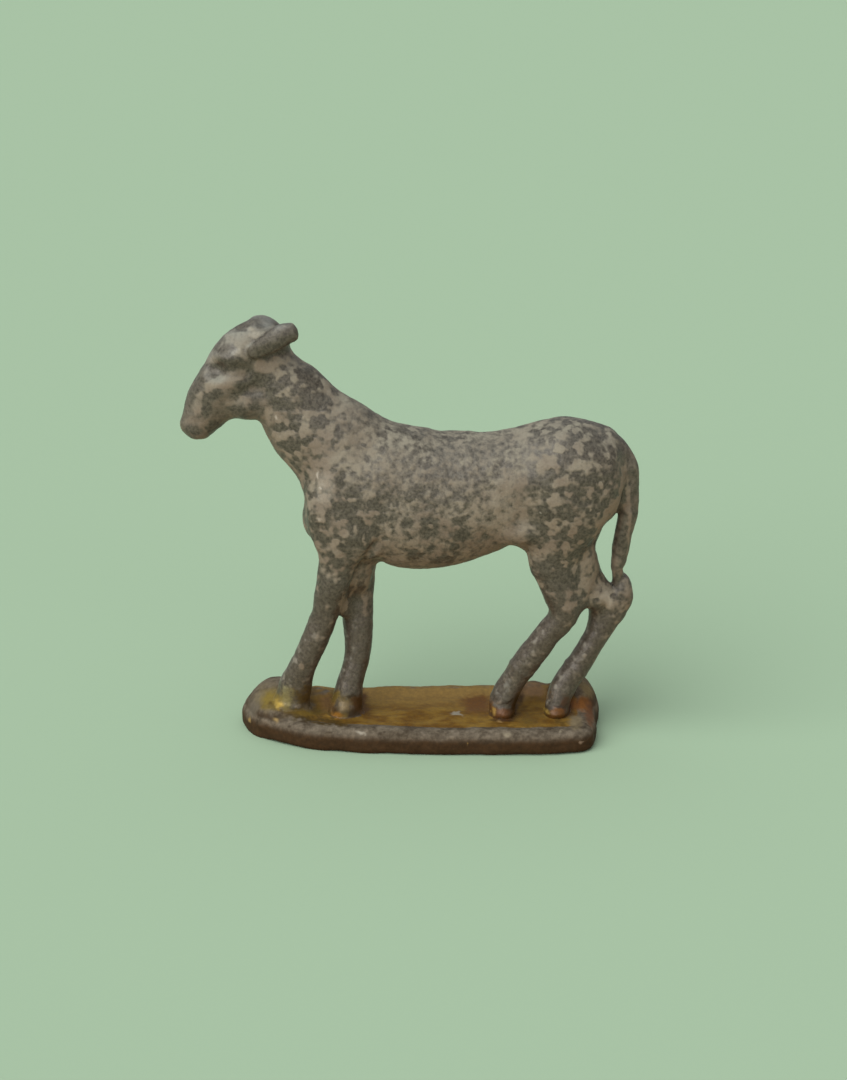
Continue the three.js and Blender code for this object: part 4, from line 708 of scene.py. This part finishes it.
melt("tail", swept(TAIL[3:], start_round=0.5, end_round=0.5), fillet=0.15)

# The finished figure: the castings were soldered together and painted as one, so one skin is drawn
# round all the metal, with the small lumps that the mould leaves, and then parted at the joints.
# The wear of its paint is worked out point by point.

MOULD_LUMPS = [
    # length, height
    (4.5, 0.04), (1.6, 0.016), (0.7, 0.007),
]
HIGHEST_LUMP = 0.12
grid = openvdb.FloatGrid(FAR)
grid.copyFromArray(metal)
points, quads = grid.convertToQuads(isovalue=0.0)
points = points.astype(float) * CELL + LOW_CORNER
quads = quads.astype(np.int64)


def face_normals(points):
    """Half the cross product of each face's diagonals: its direction, as long as its area."""
    a, b, c, d = (points[quads[:, n]] for n in range(4))
    return 0.5 * np.cross(c - a, d - b)


def vertex_normals(points):
    """The mean of the normals of the faces round each point, weighted by their areas."""
    flat = face_normals(points)
    sums = [np.bincount(quads.ravel(), np.repeat(flat[:, n], 4), len(points)) for n in range(3)]
    sums = np.stack(sums, -1)
    return sums / np.maximum(np.linalg.norm(sums, axis=1), 1e-12)[:, None]


# A skin with less than no volume is turned inside out.
if np.einsum("ij,ij->i", points[quads].mean(1), face_normals(points)).sum() < 0:
    quads = quads[:, ::-1].copy()
edges = np.vstack([quads[:, [0, 1]], quads[:, [1, 2]], quads[:, [2, 3]], quads[:, [3, 0]]])
valence = np.bincount(edges[:, 0], minlength=len(points))


def relaxed(points):
    """Each point moved to the mean of its neighbours."""
    sums = [np.bincount(edges[:, 0], points[edges[:, 1], n], len(points)) for n in range(3)]
    return np.stack(sums, -1) / valence[:, None]


# Three rounds take out the steps of the cells.
for _ in range(3):
    points = 0.5 * points + 0.5 * relaxed(points)

rng = np.random.default_rng(7)


def lumps(wavelength, waves=28):
    """Sum of sine waves in random directions, of about the given wavelength, scaled to about one."""
    direction = rng.normal(size=(waves, 3))
    direction /= np.linalg.norm(direction, axis=1)[:, None]
    pace = 2 * np.pi / (wavelength * rng.uniform(0.7, 1.5, waves))
    phase = rng.uniform(0, 2 * np.pi, waves)
    return np.sin(points @ (direction * pace[:, None]).T + phase).sum(1) / np.sqrt(waves / 2)


def uneven(rows):
    """Lumps of several lengths, each times its height, added up."""
    return sum(height * lumps(length) for length, height in rows)


raised = np.clip(uneven(MOULD_LUMPS), -HIGHEST_LUMP, HIGHEST_LUMP)
points = points + vertex_normals(points) * raised[:, None]
points[:, 2] = np.maximum(points[:, 2], 0.0)
normals = vertex_normals(points)

# Each face belongs to the casting whose form is nearest, parted by flat cuts at the neck and the legs.
middles = points[quads].mean(1)
cells = np.round((middles - LOW_CORNER) / CELL).astype(int)
label = owner[tuple(np.clip(cells, 0, np.array(size) - 1).T)].astype(int)
torso, neck = CASTINGS.index("torso"), CASTINGS.index("head_and_neck")
above_joint = (middles - NECK_JOINT) @ NECK_AXIS > 0
front = (middles[:, 0] < 0) & np.isin(label, (torso, neck))
label[front] = np.where(above_joint[front], neck, torso)
for part, joint_height in LEG_JOINTS.items():
    above_joint = (middles[:, 2] > joint_height + SOLES[2]) & (middles[:, 0] < HOCK_FRONT)
    label[(label == CASTINGS.index(part)) & above_joint] = torso

# Every edge is met by one other, that of the face beside it. A face that has three or four neighbours
# in other castings goes over to them.
pair = np.sort(edges, axis=1) @ np.array([len(points), 1])
order = np.argsort(pair, kind="stable")
opposite = np.empty(len(pair), np.int64)
opposite[order[0::2]], opposite[order[1::2]] = order[1::2], order[0::2]
edge_face = np.tile(np.arange(len(quads)), 4)
beside = edge_face[opposite].reshape(4, -1)
for _ in range(5):
    round_it = label[beside]
    odd = (round_it != label).sum(0) > 2
    label[odd] = np.sort(round_it[:, odd], axis=0)[2]


def read_mould(places):
    """The metal's distance at any place, from the eight cells round it, by shares of their volume."""
    spot = np.clip((places - LOW_CORNER) / CELL, 0, np.array(size) - 1.001)
    low = spot.astype(int)
    part = spot - low
    total = np.zeros(len(places))
    for corner in np.ndindex(2, 2, 2):
        share = np.prod(np.where(corner, part, 1 - part), axis=1)
        total += share * metal[tuple((low + corner).T)]
    return total


def soft_step(start, end, value):
    """Nought at the start, one at the end and 3t^2 - 2t^3 between, with t the share of the way."""
    t = np.clip((value - start) / (end - start), 0, 1)
    return t * t * (3 - 2 * t)


# Weathering: how much paint is left, how coarsely it has chipped, where dirt and painted shade lie, where
# light is painted in, and what has run off the hooves. Its marks are placed as a view from the near side
# shows them, which looks down by 18 degrees. Their edges wander by a fraction of a millimetre, and those of
# the far side are moved along.
SEEN_SLANT = 0.325
FAR_SIDE_SHIFT = 2.6
EDGE_WANDER = [(3.0, 0.06), (1.4, 0.08), (0.6, 0.07)]
sideways = points[:, 1] - SOLES[1]
height = points[:, 2] - SOLES[2]
wander = uneven(EDGE_WANDER)
along = points[:, 0] - SOLES[0] + FAR_SIDE_SHIFT * soft_step(-1.5, 3.5, sideways) + wander
seen = height + SEEN_SLANT * sideways + uneven(EDGE_WANDER)


def oval_reach(u, v, long, tall, slant):
    """How far out a place lies in an oval: nought at its middle, and one on its edge."""
    c, s = np.cos(np.radians(slant)), np.sin(np.radians(slant))
    return np.hypot((u * c + v * s) / long, (v * c - u * s) / tall)


def marked(rows, start, lift):
    """Patches marked out as ovals, each laid over those before it. A patch is seen lower than it lies
    by the lift, because the near side of that casting stands before the middle."""
    value = start
    for x, z, long, tall, slant, share in rows:
        reach = oval_reach(along - x, seen - z + lift, long, tall, slant)
        value = value + (share - value) * (1 - soft_step(0.6, 1.4, reach))
    return value


cover = marked(LEG_WEAR, np.full(len(points), 0.5), lift=0.4)
cover = marked(TRUNK_WEAR, cover, lift=1.33)
cover = marked(HEAD_WEAR, cover, lift=0.85)
cover = marked(EAR_WEAR, cover, lift=0.85)
cover = marked(TAIL_WEAR, cover, lift=0.0)
# Painted highlights and glints, marked out like the wear.
painted_glint = marked(TRUNK_GLINTS, np.zeros(len(points)), lift=1.33)
painted_glint = marked(HEAD_GLINTS, painted_glint, lift=0.85)

# Chips are coarse on the forequarters and the haunches. Head and tail have worn evenly.
coarse = np.maximum(soft_step(9.0, 11.5, along), soft_step(-5.0, -8.0, along))
on_head = soft_step(-12.5, -15.5, along)
on_tail = soft_step(19.0, 20.0, points[:, 0]) * soft_step(15.0, 16.0, height)
smooth = 0.75 * on_head + 0.6 * on_tail

# Painted shade lies under the figure and in its hollows as a brown glaze, and soil adds to it towards the
# feet.
HOLLOW_REACH = 0.9
hollow = np.clip(1 - read_mould(points + HOLLOW_REACH * normals) / HOLLOW_REACH, 0, 1)
underside = soft_step(0.4, -0.8, normals[:, 2]) * (1 - 0.75 * soft_step(13, 16, height))
by_the_feet = 0.1 * soft_step(30, 14, height) + 0.2 * soft_step(13, 9, height)
soil_and_shade = 0.04 + 0.32 * underside + 0.12 * soft_step(0.25, 0.9, hollow) + by_the_feet
soil_and_shade = np.clip(soil_and_shade, 0, 1)

# Painted sky reflection: what faces up is cooler, most of all on the head. Hands have worn flecks on the
# fronts of the legs, and more of them show, as a painted highlight, on the sides that face the key lamp.
TOWARDS_KEY_LAMP = np.array([-0.75, -0.45, 0.48])
sky_reflection = soft_step(0.15, 0.95, normals[:, 2]) * (0.15 + 0.6 * soft_step(-11, -14, along))
# The leg sides that face the key lamp take more flecks, as a painted highlight.
facing_key_lamp = soft_step(0.35, 0.95, normals @ TOWARDS_KEY_LAMP)
handled_and_lit = 0.06 + (0.1 + 0.5 * facing_key_lamp) * soft_step(11.5, 8.0, height) * soft_step(0.6, 1.6, height)

# Painted shade and soil darken the creases round the soles and the metal where it meets the ground.
# Stains have run over the ground by the hooves, with painted contact shadows and painted glints among them.
creased = soft_step(0.2, 0.8, hollow) * soft_step(3.6, 1.6, height)
sole_contact = soft_step(1.2, 0.3, height) * soft_step(-0.6, -0.2, height) * soft_step(0.9, 0.45, normals[:, 2])
stain_shade_and_glint = np.zeros((len(points), 4))
stain_shade_and_glint[:, 3] = np.maximum(0.4 * creased, 0.6 * sole_contact)
stain_shade_and_glint[:, :3] = np.multiply.outer(stain_shade_and_glint[:, 3], linear(SOLE_SHADE_AND_SOIL)[:3])
near_ground = 1 - soft_step(0.6, 4.6, height + 0.5 * lumps(1.2))
near_ground *= soft_step(0.55, 0.1, normals[:, 1])
for x, z, long, tall, slant, colour, share in GROUND_STAINS_SHADE_AND_GLINTS:
    reach = oval_reach(points[:, 0] + 0.7 * wander - x, seen - z, long, tall, slant)
    laid_on = near_ground * share * (1 - soft_step(0.2, 1.6, reach))
    stain_shade_and_glint += (np.array(linear(colour)) - stain_shade_and_glint) * laid_on[:, None]
stain_shade_and_glint[:, :3] /= np.maximum(stain_shade_and_glint[:, 3:], 1e-4)

# The slab is bare along its rim and where the ground climbs, dirty at its foot and dusty at the back.
HIGHEST_GROUND = 7
edge_run = np.roll(slab_edge, -1, axis=0) - slab_edge
edge_gap = np.full(len(points), 9.0)
on_base = points[:, 2] < HIGHEST_GROUND
for start, run in zip(slab_edge, edge_run):
    t = np.clip(((points[on_base, :2] - start) @ run) / (run @ run), 0, 1)
    gap = np.linalg.norm(points[on_base, :2] - start - t[:, None] * run, axis=1)
    edge_gap[on_base] = np.minimum(edge_gap[on_base], gap)
near_rim = soft_step(1.5, -1.5, points[:, 1]) + soft_step(13, 16, np.abs(points[:, 0]))
bare = soft_step(BARE_RIM + 0.5, BARE_RIM - 0.5, edge_gap) * np.clip(0.35 + near_rim, 0, 1)
climbing = soft_step(0.4, 1.5, height + 0.15 * lumps(1.6))
bare = np.maximum(bare, climbing)
foot = soft_step(2.5, 1.0, points[:, 2]) * soft_step(0.95, 0.15, normals[:, 2])
dust = 0.85 * soft_step(-1.5, 5.0, points[:, 1]) * soft_step(0.3, 0.8, normals[:, 2])
WEATHERING = {
    "cover": cover, "coarse": coarse, "soil_and_shade": soil_and_shade, "sky_reflection": sky_reflection, "painted_glint": painted_glint, "stain_shade_and_glint": stain_shade_and_glint,
    "bare": bare, "foot": foot, "dust": dust, "handled_and_lit": handled_and_lit, "smooth": smooth,
}
END_HOLLOW = 0.1
POCKET_DEPTH = 0.5
ROOT_LENGTH = 0.3


def joint_caps(number):
    """Closes a casting where it meets a neighbour: each edge of the rim is drawn to the middle of that
    joint, a little inside the casting. An ear's root goes into a pocket in the head, and the trunk's
    end into one in a hind leg. Where two joints share a point of the rim, a triangle joins it to their
    middles."""
    neighbour = label[edge_face[opposite]]
    rim = (label[edge_face] == number) & (neighbour != number)
    corners, caps, ends, begins = [], [], {}, {}
    for other in np.unique(neighbour[rim]):
        joint = edges[rim & (neighbour == other)]
        middle = points[joint].mean((0, 1))
        first, last = sorted((number, other))
        into, depth = number, END_HOLLOW
        if CASTINGS[last].endswith("_ear"):
            into, depth = first, POCKET_DEPTH if number == first else ROOT_LENGTH
        elif CASTINGS[first] == "torso" and CASTINGS[last].endswith("_hind_leg"):
            into, depth = last, POCKET_DEPTH if number == last else ROOT_LENGTH
        inwards = points[quads[label == into]].mean((0, 1)) - middle
        corner = len(points) + len(corners)
        corners.append(middle + depth * inwards / np.linalg.norm(inwards))
        caps.append(np.column_stack([joint[:, ::-1], np.full(len(joint), corner)]))
        ends.update(dict.fromkeys(np.setdiff1d(joint[:, 1], joint[:, 0]).tolist(), corner))
        begins.update(dict.fromkeys(np.setdiff1d(joint[:, 0], joint[:, 1]).tolist(), corner))
    shared = sorted(ends.keys() & begins.keys())
    caps.append(np.array([(point, ends[point], begins[point]) for point in shared], int).reshape(-1, 3))
    return np.array(corners), np.vstack(caps)


def cast(part, finish):
    """One casting's share of the skin with its joints closed, as a piece that keeps the whole skin's
    normals, so that the joints are painted over, and its share of the weathering."""
    number = CASTINGS.index(part)
    faces = quads[label == number]
    corners, caps = joint_caps(number)
    used, index = np.unique(np.concatenate([faces.ravel(), caps.ravel()]), return_inverse=True)
    mesh = bpy.data.meshes.new(part)
    mesh.vertices.add(len(used))
    mesh.vertices.foreach_set("co", (np.vstack([points, corners])[used] / 1000).ravel())
    mesh.loops.add(len(index))
    mesh.loops.foreach_set("vertex_index", index.astype(np.int32))
    mesh.polygons.add(len(faces) + len(caps))
    starts = np.concatenate([np.arange(len(faces)) * 4, faces.size + np.arange(len(caps)) * 3])
    mesh.polygons.foreach_set("loop_start", starts.astype(np.int32))
    mesh.update(calc_edges=True)
    mesh.validate()
    facing = np.vstack([normals, np.tile([0.0, 0.0, 1.0], (len(corners), 1))])
    mesh.normals_split_custom_set_from_vertices(facing[used])
    for name, values in WEATHERING.items():
        padded = np.concatenate([values, np.zeros((len(corners),) + values.shape[1:])])[used]
        kind, field = ("FLOAT_COLOR", "color") if values.ndim > 1 else ("FLOAT", "value")
        layer = mesh.attributes.new(name, kind, "POINT")
        layer.data.foreach_set(field, padded.astype(np.float32).ravel())
    mesh.materials.append(finish)
    piece = bpy.data.objects.new("cast_" + part, mesh)
    bpy.context.collection.objects.link(piece)
    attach(piece, "root")
    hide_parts(part)


cast("base_plate", base_finish)
for part in ("torso", "head_and_neck", "tail"):
    cast(part, body_finish)
for part in ("near_ear", "far_ear", "near_foreleg", "far_foreleg", "near_hind_leg", "far_hind_leg"):
    cast(part, metal_finish)

# Studio: a wide sheet of matt sage paper under the figure, three broad soft lamps and an even white
# surround. The camera looks from the near side and a little from above. Lengths here are in metres.

PAPER = 0xA7C1A5
PAPER_GLOW = 0xC2A17B
floor_mesh = bpy.data.meshes.new("floor")
floor_mesh.from_pydata([(-3, -3, 0), (3, -3, 0), (3, 3, 0), (-3, 3, 0)], [], [(0, 1, 2, 3)])
floor = bpy.data.objects.new("floor", floor_mesh)
bpy.context.collection.objects.link(floor)
# Uncoated paper: an even pale green with no shine. What it throws back on the figure is warmer.
paper = bpy.data.materials.new("matt_sage_paper")
paper.use_nodes = True
tree = paper.node_tree
sheet = tree.nodes["Principled BSDF"]
camera_ray = add(tree, "LightPath", {}, 0)
glossy_ray = add(tree, "LightPath", {}, 3)
through_ray = add(tree, "LightPath", {}, 6)
looked_at = add(tree, "Math", {0: camera_ray, 1: glossy_ray}, operation="MAXIMUM")
looked_at = add(tree, "Math", {0: looked_at, 1: through_ray}, operation="MAXIMUM")
tone = add(tree, "Mix", {0: looked_at, 6: linear(PAPER_GLOW), 7: linear(PAPER)}, 2, data_type="RGBA")
tree.links.new(tone, sheet.inputs["Base Color"])
sheet.inputs["Roughness"].default_value = 1.0
sheet.inputs["Specular IOR Level"].default_value = 0.0
floor_mesh.materials.append(paper)

world = bpy.data.worlds.new("world")
bpy.context.scene.world = world
world.use_nodes = True
world.node_tree.nodes["Background"].inputs["Color"].default_value = (1, 1, 1, 1)
world.node_tree.nodes["Background"].inputs["Strength"].default_value = 0.36


def lamp(name, towards, spread, strength, tint):
    """A broad even light from far off, which shines along a direction with a spread in degrees."""
    light = bpy.data.lights.new(name, "SUN")
    light.angle = np.radians(spread)
    light.energy = np.pi * strength
    light.color = tint
    holder = bpy.data.objects.new(name, light)
    bpy.context.collection.objects.link(holder)
    holder.rotation_euler = Vector(towards).to_track_quat("-Z", "Y").to_euler()


lamp("key", towards=(0.5, 0.55, -0.67), spread=60, strength=0.72, tint=(1, 0.99, 0.97))
lamp("front", towards=(0.05, 1, -0.1), spread=90, strength=0.28, tint=(1, 0.98, 0.95))
lamp("overhead", towards=(0.05, -0.1, -1), spread=90, strength=0.12, tint=(0.97, 1, 0.98))

LOOKS_DOWN = np.radians(18)
LOOKS_AT = np.array([0.00043, 0, 0.021])
FRAMED_LOWER = 0.00042
DISTANCE = 0.3
camera_data = bpy.data.cameras.new("camera")
camera = bpy.data.objects.new("camera", camera_data)
bpy.context.collection.objects.link(camera)
camera_data.sensor_fit = "VERTICAL"
camera_data.sensor_height = 24
camera_data.lens = 66.5
camera_data.clip_start = 0.01
camera.rotation_euler = (np.pi / 2 - LOOKS_DOWN, 0, 0)
up = np.array([0, np.sin(LOOKS_DOWN), np.cos(LOOKS_DOWN)])
back = np.array([0, -np.cos(LOOKS_DOWN), np.sin(LOOKS_DOWN)])
camera.location = LOOKS_AT - FRAMED_LOWER * up + DISTANCE * back
bpy.context.scene.camera = camera
bpy.context.scene.view_settings.view_transform = "Standard"
